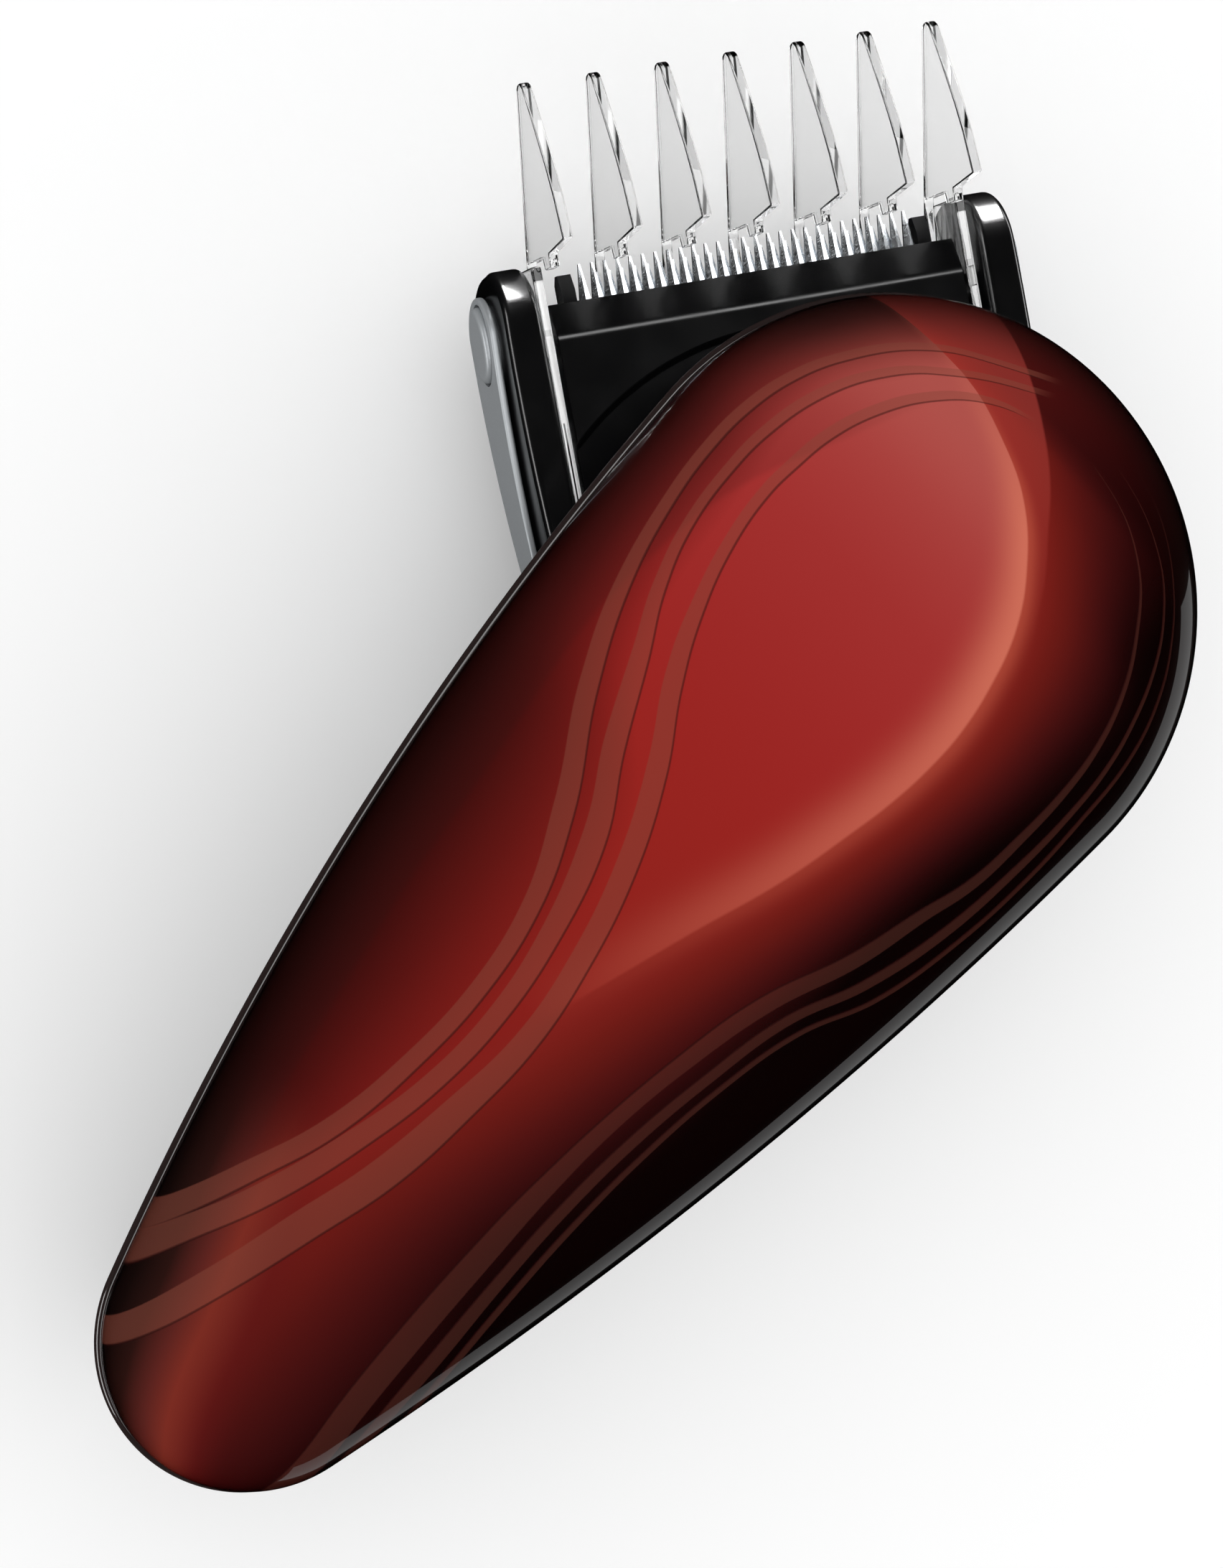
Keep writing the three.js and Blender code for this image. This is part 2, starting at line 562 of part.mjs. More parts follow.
// ---- Assembly ----
const clipper = new THREE.Group();
const head = new THREE.Group();
head.rotation.z = HEAD_ANGLE;
clipper.add(head);

function place(parent, name, shape, look) {
  const mesh = new THREE.Mesh(geometryOf(shape), look);
  mesh.name = name;
  parent.add(mesh);
}

place(clipper, "top_cover", topCover(), redGloss);
place(clipper, "front_housing", frontHousing(), printedRed);
place(clipper, "trim_ring", trimRing(), clearTrim);
place(clipper, "rear_housing", rearHousing(), blackSatin);
place(clipper, "grip_pad", gripPad(), softRubber);
for (const [name, z] of CELLS) place(clipper, name, battery(z), cellWrap);
place(clipper, "battery_contact_front", cellContact(-50.3, -49.8), steel);
place(clipper, "battery_contact_rear", cellContact(-99.8, -99.3), steel);
place(clipper, "circuit_board", circuitBoard(), boardGreen);
place(clipper, "charging_jack", chargingJack(), blackSatin);
place(clipper, "charging_light", lightPipe(), clearPlastic);
place(clipper, "switch_block", switchBlock(), blackSatin);
place(clipper, "motor", motor(), steel);
place(clipper, "motor_bracket", motorBracket(), steel);
place(clipper, "swivel_click_spring", clickSpring(), steel);
HOUSING_SCREWS.forEach(([x, y], i) => place(clipper, `housing_screw_${i + 1}`, screw(x, y, 2.6, 12), steel));
place(clipper, "power_slider", powerSlider(), silverPlate);
place(clipper, "motor_shaft", motorShaft(), steel);
place(clipper, "eccentric_cam", eccentricCam(), brass);

place(head, "head_housing", headHousing(), blackGloss);
place(head, "head_back_cover", headBackCover(), blackSatin);
place(head, "retaining_clip", retainingClip(), steel);
HEAD_SCREWS.forEach(([x, y], i) => place(head, `head_screw_${i + 1}`, screw(x, y, 1.2, 11), steel));
place(head, "lever_pin", leverPin(), steel);
place(head, "drive_lever", driveLever(), nylon);
place(head, "cutter_frame", cutterFrame(), blackSatin);
place(head, "guard_blade", guardBlade(), steel);
place(head, "moving_blade", movingBlade(), steel);
place(head, "blade_follower", bladeFollower(), nylon);
place(head, "blade_spring", bladeSpring(), steel);

place(head, "comb_rack", combRack(), clearPlastic);
for (const [word, side] of [["left", -1], ["right", 1]]) {
  place(head, `comb_arm_${word}`, combArm(side), blackGloss);
  place(head, `arm_plate_${word}`, sidePlate(side), silverPlate);
}
place(head, "length_button", lengthButton(), silverPlate);

export default clipper;
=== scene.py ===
import json
import math

import bmesh
import bpy
from mathutils import Matrix, Vector


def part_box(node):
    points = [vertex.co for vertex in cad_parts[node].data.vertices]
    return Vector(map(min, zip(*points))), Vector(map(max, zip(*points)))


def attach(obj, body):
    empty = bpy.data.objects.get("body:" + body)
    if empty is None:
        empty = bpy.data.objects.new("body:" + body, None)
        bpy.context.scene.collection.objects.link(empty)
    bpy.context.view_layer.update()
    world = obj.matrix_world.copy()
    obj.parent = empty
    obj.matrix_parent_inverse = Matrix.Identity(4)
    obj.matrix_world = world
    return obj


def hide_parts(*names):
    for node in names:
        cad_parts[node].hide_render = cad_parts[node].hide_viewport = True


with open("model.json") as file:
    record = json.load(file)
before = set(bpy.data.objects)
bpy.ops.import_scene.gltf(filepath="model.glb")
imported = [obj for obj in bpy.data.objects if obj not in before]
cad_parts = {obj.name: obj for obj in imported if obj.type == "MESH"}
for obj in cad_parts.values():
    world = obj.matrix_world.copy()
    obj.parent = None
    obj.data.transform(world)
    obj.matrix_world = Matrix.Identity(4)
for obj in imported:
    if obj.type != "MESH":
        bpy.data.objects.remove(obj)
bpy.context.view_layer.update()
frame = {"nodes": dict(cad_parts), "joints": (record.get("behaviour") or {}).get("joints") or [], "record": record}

MM = 0.001
JOINTS = {joint["name"]: joint for joint in frame["joints"]}
HEAD_ACROSS = Vector(JOINTS["cutter_slide"]["axis"])
HEAD_AHEAD = Vector(JOINTS["comb_slide"]["axis"])


def box_mm(node):
    """The lowest and highest corners of a CAD node, in millimetres."""
    low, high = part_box(node)
    return [c / MM for c in low], [c / MM for c in high]


# ---- The body's driving sizes, as the part has them ----
WIDE_R, WIDE_Y = 35.2, 4.6
TAIL_R, TAIL_Y = 16.4, -101.7
LEFT_FLANK_R, RIGHT_FLANK_R = 385, 517
RIM_Z = box_mm("trim_ring")[1][2]
COVER_FOOT = box_mm("top_cover")[0][2]
COVER_TOP = box_mm("top_cover")[1][2]
COVER_INSET = 0.5
WALL = 1.8
EDGE_WALL = 1.2  # upright edge of the cover, under its crown
WIDE_DOME = COVER_TOP - COVER_FOOT - EDGE_WALL
TAIL_DOME = WIDE_DOME - 4.5
SHELF_Z = 22.3
STEP_Y, STEP_RAKE = -35, 5
BELLY_Z = box_mm("rear_housing")[0][2]
BELLY_ROLL = 6.5
SIDE_DRAW = 0.3  # how far the sides draw in for each millimetre down


# ---- Small tools ----
def add(tree, kind, inputs=None, **settings):
    """A new node with its own settings, and its inputs set to a value or linked from a socket."""
    node = tree.nodes.new(kind)
    for name, value in settings.items():
        setattr(node, name, value)
    for name, value in (inputs or {}).items():
        if isinstance(value, bpy.types.NodeSocket):
            tree.links.new(value, node.inputs[name])
        else:
            node.inputs[name].default_value = value
    return node


def linear(hex_colour):
    """An sRGB hex colour as linear RGBA."""
    parts = [int(hex_colour[i : i + 2], 16) / 255 for i in (1, 3, 5)]
    return [c / 12.92 if c <= 0.04045 else ((c + 0.055) / 1.055) ** 2.4 for c in parts] + [1.0]


def new_object(name, mesh):
    obj = bpy.data.objects.new(name, mesh)
    bpy.context.scene.collection.objects.link(obj)
    return obj


def mesh_from(name, points, faces):
    """An object from points in millimetres and faces, with its faces turned outwards."""
    mesh = bpy.data.meshes.new(name)
    mesh.from_pydata([Vector(p) * MM for p in points], [], faces)
    work = bmesh.new()
    work.from_mesh(mesh)
    bmesh.ops.remove_doubles(work, verts=work.verts, dist=1e-7)
    bmesh.ops.recalc_face_normals(work, faces=work.faces)
    work.to_mesh(mesh)
    work.free()
    return new_object(name, mesh)


def applied(obj):
    """obj with its modifiers made part of its mesh."""
    seen = obj.evaluated_get(bpy.context.evaluated_depsgraph_get())
    mesh = bpy.data.meshes.new_from_object(seen)
    obj.modifiers.clear()
    obj.data = mesh
    return obj


def skin(name, rings, close_ends=True):
    """A surface through rings that all have the same number of points, with flat ends."""
    n = len(rings[0])
    points = [p for ring in rings for p in ring]
    faces = []
    for k in range(len(rings) - 1):
        for i in range(n):
            j = (i + 1) % n
            faces.append((k * n + i, k * n + j, (k + 1) * n + j, (k + 1) * n + i))
    if close_ends:
        faces.append(tuple(range(n)))
        faces.append(tuple(range(len(points) - n, len(points))))
    return mesh_from(name, points, faces)


def slab(name, outline, low, high, axis="z"):
    """A flat outline drawn from low to high: (x, y) outlines along z, (y, z) along x, and (x, z) along y."""
    turns = {"z": lambda a, b, c: (a, b, c), "x": lambda a, b, c: (c, a, b), "y": lambda a, b, c: (a, c, b)}
    place = turns[axis]
    return skin(name, [[place(a, b, c) for a, b in outline] for c in (low, high)])


def block(name, x0, x1, y0, y1, z0, z1):
    return slab(name, [(x0, y0), (x1, y0), (x1, y1), (x0, y1)], z0, z1)


def arc(cx, cy, r, start, stop, steps):
    turns = (math.radians(start + (stop - start) * i / steps) for i in range(steps + 1))
    return [(cx + r * math.cos(a), cy + r * math.sin(a)) for a in turns]


def disc(name, r, low, high, x=0, y=0, axis="z", sides=64):
    return slab(name, arc(x, y, r, 0, 360 - 360 / sides, sides - 1), low, high, axis)


def turned(name, profile, sides=96):
    """A body of revolution about the upright axis, from (radius, height) points."""
    rings = []
    for r, z in profile:
        rings.append([(x, y, z) for x, y in arc(0, 0, max(r, 0.001), 0, 360 - 360 / sides, sides - 1)])
    return skin(name, rings)


def combine(obj, others, operation):
    """obj joined to, cut by or kept inside each of the others, which are used up."""
    for other in others:
        tool = obj.modifiers.new("work", "BOOLEAN")
        tool.operation = operation
        tool.solver = "EXACT"
        tool.object = other
        applied(obj)
        bpy.data.objects.remove(other)
    return obj


def softened(obj, radius, segments=3, angle=30):
    """obj with its sharp edges rounded off."""
    bevel = obj.modifiers.new("edges", "BEVEL")
    bevel.width = radius * MM
    bevel.segments = segments
    bevel.limit_method = "ANGLE"
    bevel.angle_limit = math.radians(angle)
    bevel.harden_normals = False
    return applied(obj)


def smooth(obj, angle=40):
    """Shaded smooth, except across edges sharper than the angle.

    Large faces stay flat up to their rounded edges.
    """
    mesh = obj.data
    mesh.shade_smooth()
    mesh.set_sharp_from_angle(angle=math.radians(angle))
    normals = obj.modifiers.new("flat faces", "WEIGHTED_NORMAL")
    normals.weight = 50
    normals.keep_sharp = True
    return applied(obj)


def head_placed(obj):
    """Turns a piece drawn in the head's own frame (+Y at the teeth) into place."""
    turn = Matrix((HEAD_ACROSS, HEAD_AHEAD, Vector((0, 0, 1)))).transposed()
    obj.data.transform(turn.to_4x4())
    return obj


def finished(obj, body, material, stands_for=(), angle=40):
    """Gives a piece its finish, and lets it ride on its body."""
    obj.data.materials.clear()
    obj.data.materials.append(material)
    smooth(obj, angle)
    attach(obj, body)
    if stands_for:
        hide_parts(*stands_for)
    return obj


def repeated(name, shape, places, material):
    """One shape at every place, by a Geometry Nodes tree, as one plain mesh."""
    tree = bpy.data.node_groups.new(name, "GeometryNodeTree")
    tree.interface.new_socket("Places", in_out="INPUT", socket_type="NodeSocketGeometry")
    shape_socket = tree.interface.new_socket("Shape", in_out="INPUT", socket_type="NodeSocketObject")
    finish_socket = tree.interface.new_socket("Finish", in_out="INPUT", socket_type="NodeSocketMaterial")
    tree.interface.new_socket("Result", in_out="OUTPUT", socket_type="NodeSocketGeometry")
    given = add(tree, "NodeGroupInput")
    source = add(tree, "GeometryNodeObjectInfo", {"Object": given.outputs["Shape"]})
    copies = add(tree, "GeometryNodeInstanceOnPoints",
                 {"Points": given.outputs["Places"], "Instance": source.outputs["Geometry"]})
    real = add(tree, "GeometryNodeRealizeInstances", {"Geometry": copies.outputs["Instances"]})
    painted = add(tree, "GeometryNodeSetMaterial",
                  {"Geometry": real.outputs["Geometry"], "Material": given.outputs["Finish"]})
    add(tree, "NodeGroupOutput", {"Result": painted.outputs["Geometry"]})
    mesh = bpy.data.meshes.new(name)
    mesh.from_pydata([Vector(p) * MM for p in places], [], [])
    obj = new_object(name, mesh)
    maker = obj.modifiers.new("copies", "NODES")
    maker.node_group = tree
    maker[shape_socket.identifier] = shape
    maker[finish_socket.identifier] = material
    applied(obj)
    bpy.data.objects.remove(shape)
    return obj


# ---- Materials ----
def surface(name, colour, roughness, metallic=0.0, ior=1.5, **sockets):
    """A new material and its tree, with one principled shader. Other sockets are given by their names."""
    material = bpy.data.materials.new(name)
    material.use_nodes = True
    tree = material.node_tree
    shader = tree.nodes["Principled BSDF"]
    values = {"Base Color": linear(colour), "Roughness": roughness, "Metallic": metallic}
    if not metallic:
        values["IOR"] = ior
    values.update({key.replace("_", " "): value for key, value in sockets.items()})
    for socket, value in values.items():
        shader.inputs[socket].default_value = value
    return material, tree, shader


def place_mm(tree):
    """Object coordinates in millimetres."""
    place = add(tree, "ShaderNodeTexCoord").outputs["Object"]
    return add(tree, "ShaderNodeVectorMath", {0: place, "Scale": 1000.0}, operation="SCALE").outputs[0]


def grain(tree, shader, size, depth, detail=2.0, stretch=(1, 1, 1), turn=0.0, spread=0.0):
    """A fine relief, its size and depth in millimetres, and a matching spread of roughness."""
    where = add(tree, "ShaderNodeMapping",
                {"Vector": place_mm(tree), "Scale": stretch, "Rotation": (0, 0, turn)})
    noise = add(tree, "ShaderNodeTexNoise",
                {"Vector": where.outputs[0], "Scale": 1.0 / size, "Detail": detail, "Roughness": 0.55})
    bump = add(tree, "ShaderNodeBump", {"Height": noise.outputs[0], "Distance": depth * MM, "Strength": 0.6})
    tree.links.new(bump.outputs[0], shader.inputs["Normal"])
    if spread:
        base = shader.inputs["Roughness"].default_value
        rough = add(tree, "ShaderNodeMapRange",
                    {"Value": noise.outputs[0], "From Min": 0.3, "From Max": 0.7,
                     "To Min": base - spread, "To Max": base + spread})
        tree.links.new(rough.outputs[0], shader.inputs["Roughness"])


def polished_abs():
    """Polished ABS: black, with a faint orange peel that softens its reflections."""
    material, tree, shader = surface("polished black ABS", "#0A0A0B", 0.2, ior=1.53)
    grain(tree, shader, size=6, depth=0.006, spread=0.03)
    return material


def satin_abs():
    """Spark-eroded ABS: black, with a fine even grain that breaks up highlights."""
    material, tree, shader = surface("satin black ABS", "#131315", 0.46, ior=1.53)
    grain(tree, shader, size=0.35, depth=0.02, detail=3, spread=0.05)
    return material


def elastomer():
    """Moulded thermoplastic rubber: dark, dry and slightly dusty."""
    material, tree, shader = surface("black elastomer", "#1C1C1E", 0.78, ior=1.5)
    grain(tree, shader, size=0.6, depth=0.03, detail=4, spread=0.08)
    return material


def clear_polycarbonate():
    """Clear moulded polycarbonate: its high index makes the edges dark and the faces pale."""
    material, tree, shader = surface("clear polycarbonate", "#FFFFFF", 0.02, ior=1.585,
                                     Transmission_Weight=1.0)
    grain(tree, shader, size=9, depth=0.004)
    return material


def clear_edge():
    """Clear acrylic trim over the red body: a pale pinkish grey line."""
    material, tree, shader = surface("clear acrylic trim", "#2A2120", 0.12, ior=1.49, Coat_Weight=0.5)
    grain(tree, shader, size=3, depth=0.004, spread=0.03)
    return material


def silver_lacquer():
    """Silver lacquer on plastic: fine metal flakes under a satin varnish."""
    material, tree, shader = surface("satin silver lacquer", "#A9ADB0", 0.42, metallic=0.35)
    grain(tree, shader, size=0.12, depth=0.004, detail=1, spread=0.08)
    return material


def ground_steel():
    """Stainless steel ground across the blade: bright, with fine lines along the teeth."""
    material, tree, shader = surface("ground stainless steel", "#CDD0D3", 0.2, metallic=1.0)
    turn = -math.atan2(HEAD_ACROSS.y, HEAD_ACROSS.x)
    grain(tree, shader, size=0.12, depth=0.003, stretch=(1, 0.06, 1), turn=turn, spread=0.08)
    return material


def spring_steel():
    """Plated steel of screws and springs: plain and a little dull."""
    material, tree, shader = surface("zinc-plated steel", "#B9BCC0", 0.3, metallic=1.0)
    grain(tree, shader, size=0.5, depth=0.004, spread=0.08)
    return material


def turned_brass():
    """Brass from the lathe: warm, with faint rings."""
    material, tree, shader = surface("turned brass", "#C79A4B", 0.25, metallic=1.0)
    grain(tree, shader, size=0.2, depth=0.004, stretch=(0.1, 0.1, 1), spread=0.06)
    return material


def natural_nylon():
    """Unfilled nylon: off-white, waxy and slightly see-through at its edges."""
    material, tree, shader = surface("natural nylon", "#E4E0D3", 0.42, ior=1.53, Subsurface_Weight=0.2)
    shader.inputs["Subsurface Radius"].default_value = (0.0012, 0.001, 0.0008)
    grain(tree, shader, size=1.5, depth=0.01, spread=0.05)
    return material


def board_lacquer():
    """Solder-resist lacquer on glass-fibre board: green, with the weave just showing."""
    material, tree, shader = surface("green solder resist", "#1D5A34", 0.3, ior=1.5)
    grain(tree, shader, size=0.5, depth=0.01, spread=0.05)
    return material


def cell_sleeve():
    """Shrink-wrapped PVC sleeve: plain blue, glossy, slightly rippled."""
    material, tree, shader = surface("blue PVC sleeve", "#2E5C9A", 0.28, ior=1.53)
    grain(tree, shader, size=3, depth=0.03, spread=0.04)
    return material


# The printed foil under the clear cover, with painted light and shade. Lines run along the body, as (y, x) points
# in millimetres.
# A wave has its right edge, then its width along x.
FOIL_Y = (-120.0, 50.0)
FOIL_X = (-45.0, 45.0)
WAVES_LEFT = [
    ([(-110, -20), (-100, -16.6), (-90, -13.1), (-80, -9.9), (-70, -8.7), (-60, -8.6), (-50, -10.2),
      (-40, -14.2), (-28, -21.2), (-17, -25.9), (-8, -28.1), (0, -29), (6, -28.8), (12, -27.4), (18, -24.4),
      (24, -19.6), (28.6, -13)],
     [(-110, 2.2), (-90, 2.3), (-65, 1.9), (-50, 2.1), (-40, 2.6), (-25, 2.1), (-10, 1.3), (10, 1.2),
      (28, 1.4)]),
    ([(-110, -17.5), (-100, -14.1), (-90, -10.1), (-80, -7.3), (-70, -5.5), (-60, -5.3), (-50, -6.8),
      (-40, -9.8), (-31, -15), (-22, -19.5), (-15, -23.1), (-8, -25.3), (0, -26.1), (5, -25.9), (12, -24.3),
      (19, -20.5), (24.4, -15), (29.2, -7.8)],
     [(-110, 2.4), (-90, 2.6), (-65, 2.1), (-50, 2.4), (-40, 2.9), (-25, 2.3), (-10, 1.2), (10, 1.2),
      (28, 1.4)]),
    ([(-115, -13), (-110, -10.8), (-100, -7.5), (-90, -4.7), (-80, -2.1), (-70, -1.1), (-60, -0.9),
      (-50, -2.5), (-40, -5.4), (-30, -10), (-22, -15), (-15, -18.4), (-7, -20.9), (0, -21.8), (4, -21.6),
      (9, -20.9), (15, -18.7), (20.6, -15), (24.6, -10.4), (27, -4.4)],
     [(-110, 2.8), (-100, 3.2), (-80, 3.5), (-60, 2.6), (-50, 2.5), (-40, 2.6), (-25, 2.5), (-10, 1.4),
      (10, 1.3), (28, 1.6)]),
]
WAVES_RIGHT = [
    ([(-115, 14.6), (-108, 13.9), (-100, 12.6), (-90, 11.8), (-80, 11.4), (-70, 11.2), (-60, 11.7),
      (-50, 13.3), (-40, 15.8), (-29, 20.3), (-21, 22.4), (-14, 24.4), (-7, 25), (0, 25.1), (6, 24.4),
      (12, 22.6), (18, 19.3), (24, 14.1), (28.3, 2.4)],
     [(-110, 3.6), (-90, 3.2), (-80, 2.9), (-60, 1.9), (-40, 2.1), (-30, 1.9), (-20, 1.5), (0, 0.9),
      (20, 0.5)]),
    ([(-112, 18), (-98, 15.8), (-90, 15.1), (-80, 14.3), (-70, 14.1), (-60, 14.7), (-50, 16.2), (-40, 18.4),
      (-30, 23), (-20, 25.9), (-10, 27.2), (0, 27.5), (6, 27), (11, 25.9), (17.5, 23.6), (22.5, 20.5),
      (27, 15.4), (30.6, 4)],
     [(-110, 2), (-90, 1.8), (-80, 1.5), (-60, 1.3), (-40, 1.2), (-20, 1.2), (0, 0.7), (20, 0.4)]),
    ([(-110, 20), (-96, 17.8), (-90, 17), (-80, 16.2), (-70, 16), (-60, 16.5), (-50, 17.8), (-40, 20.2),
      (-30, 25.1), (-20, 27.7), (-10, 29), (0, 29.1), (9, 28.5), (15.6, 26.6), (21.3, 23.4), (26.3, 19),
      (30.3, 13.4), (32.3, 7.4)],
     [(-110, 1), (-80, 0.8), (-40, 0.6), (0, 0.5), (20, 0.3)]),
]
# The edge of a painted highlight, a light crescent on the cover.
HIGHLIGHT_EDGE = [(-118, -18), (-90, -13), (-75, -8), (-60, -3.2), (-50, 0), (-40, 3.2), (-29, 6.9), (-21, 8.8),
             (-15, 10), (-9, 10.6), (-4, 10.5), (2, 9.4), (8, 7.4), (14, 3.6), (19, -1.3), (22.5, -7.5),
             (25, -14), (26, -22), (28, -40)]
# Where the painted shade on the right side reaches black.
SHADE_BLACK_FROM = [(-118, 20), (-105, 19), (-95, 18), (-80, 15.5), (-70, 16.5), (-60, 18), (-45, 19.5),
              (-20, 21.5), (0, 25), (10, 25.5), (20, 21.5), (30, 24), (40, 30)]
# The cover's left edge, where the painted shade on the left is darkest.
LEFT_EDGE = [(-118, -6), (-112, -12), (-101, -16.2), (-90, -20), (-80, -23), (-60, -28), (-40, -31.6),
             (-20, -34), (0, -35), (10, -35), (20, -32), (28, -26.5), (34, -19), (38, -9), (40, 0)]
# Where the painted shade on the left ends.
LEFT_SHADE_END = [(-118, -2), (-112, -6), (-100, -8), (-80, -9), (-60, -7), (-40, -8), (-20, -21), (0, -24),
             (10, -24.5), (20, -19), (26, -14), (30, -9.5), (34, -2), (38, 7), (40, 14)]
# The edge of a painted dark veil of shade.
SHADE_VEIL_EDGE = [(-118, -8), (-100, -12), (-91, -14.4), (-79, -17.5), (-70, -19.4), (-57, -21.9), (-42, -24),
             (-31, -25.6), (-24, -26.5), (-15, -26.5), (-3, -25), (10, -20), (26, -13), (40, -8)]
# The edge of a painted reflection, a faint lighter sheet.
REFLECTION_SHEET_EDGE = [(-118, -40), (0, 12), (12, 7.5), (19, 2.6), (22.5, 0), (28, -5.6), (30, -8), (33, -12),
              (40, -24)]


def drawn_line(tree, y, points):
    """The value at each y of a smooth line through (y, value) points."""
    (y0, y1), (x0, x1) = FOIL_Y, FOIL_X
    along = add(tree, "ShaderNodeMapRange", {"Value": y, "From Min": y0, "From Max": y1})
    node = add(tree, "ShaderNodeFloatCurve", {"Value": along.outputs[0]})
    curve = node.mapping.curves[0]
    dots = [((py - y0) / (y1 - y0), (px - x0) / (x1 - x0)) for py, px in sorted(points)]
    curve.points[0].location = dots[0]
    curve.points[1].location = dots[-1]
    for dot in dots[1:-1]:
        curve.points.new(*dot)
    node.mapping.update()
    return add(tree, "ShaderNodeMapRange", {"Value": node.outputs[0], "To Min": x0, "To Max": x1}).outputs[0]


def foil_print_with_painted_light():
    """Clear polycarbonate over a printed foil: deep red with brown waves, painted highlights and painted shade,
    under a hard gloss.
    """
    material, tree, shader = surface("polycarbonate over printed foil", "#7C1A15", 0.35, ior=1.585,
                                     Coat_Weight=1.0, Coat_Roughness=0.03, Coat_IOR=1.585)
    shader.inputs["Specular IOR Level"].default_value = 0.1

    def maths(operation, a, b=0.0):
        return add(tree, "ShaderNodeMath", {0: a, 1: b}, operation=operation).outputs[0]

    def ramp(value, stops):
        node = add(tree, "ShaderNodeValToRGB", {"Fac": value})
        band = node.color_ramp
        band.interpolation = "B_SPLINE" if len(stops) > 6 else "LINEAR"
        while len(band.elements) < len(stops):
            band.elements.new(0.5)
        for element, (position, colour) in zip(band.elements, stops):
            element.position = position
            element.color = linear(colour)
        return node.outputs[0]

    def layered(under, over, share, blend="MIX"):
        node = add(tree, "ShaderNodeMix", data_type="RGBA", blend_type=blend)
        for socket, value in ((6, under), (7, over), (0, share)):
            if isinstance(value, bpy.types.NodeSocket):
                tree.links.new(value, node.inputs[socket])
            else:
                node.inputs[socket].default_value = value
        return node.outputs[2]

    def soft_step(value, start, stop):
        node = add(tree, "ShaderNodeMapRange", {"Value": value, "From Min": start, "From Max": stop},
                   interpolation_type="SMOOTHSTEP")
        return node.outputs[0]

    where = add(tree, "ShaderNodeSeparateXYZ", {0: place_mm(tree)})
    x, y = where.outputs[0], where.outputs[1]
    highlight_x = drawn_line(tree, y, HIGHLIGHT_EDGE)
    past_highlight = maths("SUBTRACT", x, highlight_x)

    # Right of the painted highlight's edge, painted shade takes the red down to black.
    shade_black_x = drawn_line(tree, y, SHADE_BLACK_FROM)
    fall = maths("DIVIDE", past_highlight, maths("SUBTRACT", shade_black_x, highlight_x))
    dark_side = ramp(fall, [(0, "#8A1B13"), (0.12, "#80170F"), (0.25, "#741309"), (0.45, "#580A07"),
                            (0.68, "#330203"), (0.87, "#1A0000"), (1, "#0C0000")])
    # A painted reflection: a faint lighter sheet on the dark side, towards the wide end.
    reflection_sheet = soft_step(maths("SUBTRACT", x, drawn_line(tree, y, REFLECTION_SHEET_EDGE)), 0.4, -0.2)
    reflection_sheet = maths("MULTIPLY", reflection_sheet, soft_step(y, 5, 30))
    dark_side = layered(dark_side, linear("#B63E35"), maths("MULTIPLY", reflection_sheet, 0.45))

    # Left of it the red is brightest along the middle and painted shade sinks it to brown at the left edge. Along
    # the body the red is partly the print's own and partly painted light and shade.
    height = add(tree, "ShaderNodeMapRange", {"Value": y, "From Min": -120.0, "From Max": 40.0}).outputs[0]
    full = ramp(height, [(0.0, "#4E0606"), (0.12, "#620A08"), (0.25, "#7A120C"), (0.37, "#8A160F"),
                         (0.5, "#9A1D14"), (0.62, "#A11D19"), (0.75, "#A82C2A"), (0.82, "#AE3C38"),
                         (0.88, "#BA5850"), (0.95, "#A84840")])
    left_x = drawn_line(tree, y, LEFT_EDGE)
    inwards = maths("SUBTRACT", x, left_x)
    rise = maths("DIVIDE", inwards, maths("SUBTRACT", drawn_line(tree, y, LEFT_SHADE_END), left_x))
    shade = ramp(rise, [(0, "#2A2625"), (0.1, "#4B3F3C"), (0.3, "#7F6A66"), (0.55, "#B5A19C"),
                        (0.8, "#E2D8D6"), (1, "#FFFFFF")])
    bright_side = layered(full, shade, 1.0, "MULTIPLY")
    # Painted shade: a dark veil over the left that fades out towards the wide end.
    shade_veil = maths("MULTIPLY", soft_step(maths("SUBTRACT", x, drawn_line(tree, y, SHADE_VEIL_EDGE)), 0.5, -0.5),
                 soft_step(y, 30, 0))
    bright_side = layered(bright_side, linear("#30100D"), maths("MULTIPLY", shade_veil, 0.2))

    # Along that edge lies a painted orange highlight, inwards for some millimetres and outwards for one or two.
    along = add(tree, "ShaderNodeMapRange", {"Value": y, "From Min": -58.0, "From Max": 5.0}).outputs[0]
    highlight_reach = maths("MULTIPLY", along, soft_step(y, 28, 16))
    inner_highlight = maths("MULTIPLY", maths("POWER", soft_step(past_highlight, -9, 0), 2.2), highlight_reach)
    bright_side = layered(bright_side, linear("#D9745C"), maths("MULTIPLY", inner_highlight, 0.85))
    outer_highlight = maths("MULTIPLY", maths("POWER", soft_step(past_highlight, 4, 0), 2.5), highlight_reach)
    dark_side = layered(dark_side, linear("#C0523C"), maths("MULTIPLY", outer_highlight, 0.6))
    softness = add(tree, "ShaderNodeMapRange",
                   {"Value": y, "From Min": -78.0, "From Max": -52.0,
                    "To Min": 16.0, "To Max": 1.0}).outputs[0]
    colour = layered(bright_side, dark_side, soft_step(maths("DIVIDE", past_highlight, softness), -0.2, 0.25))

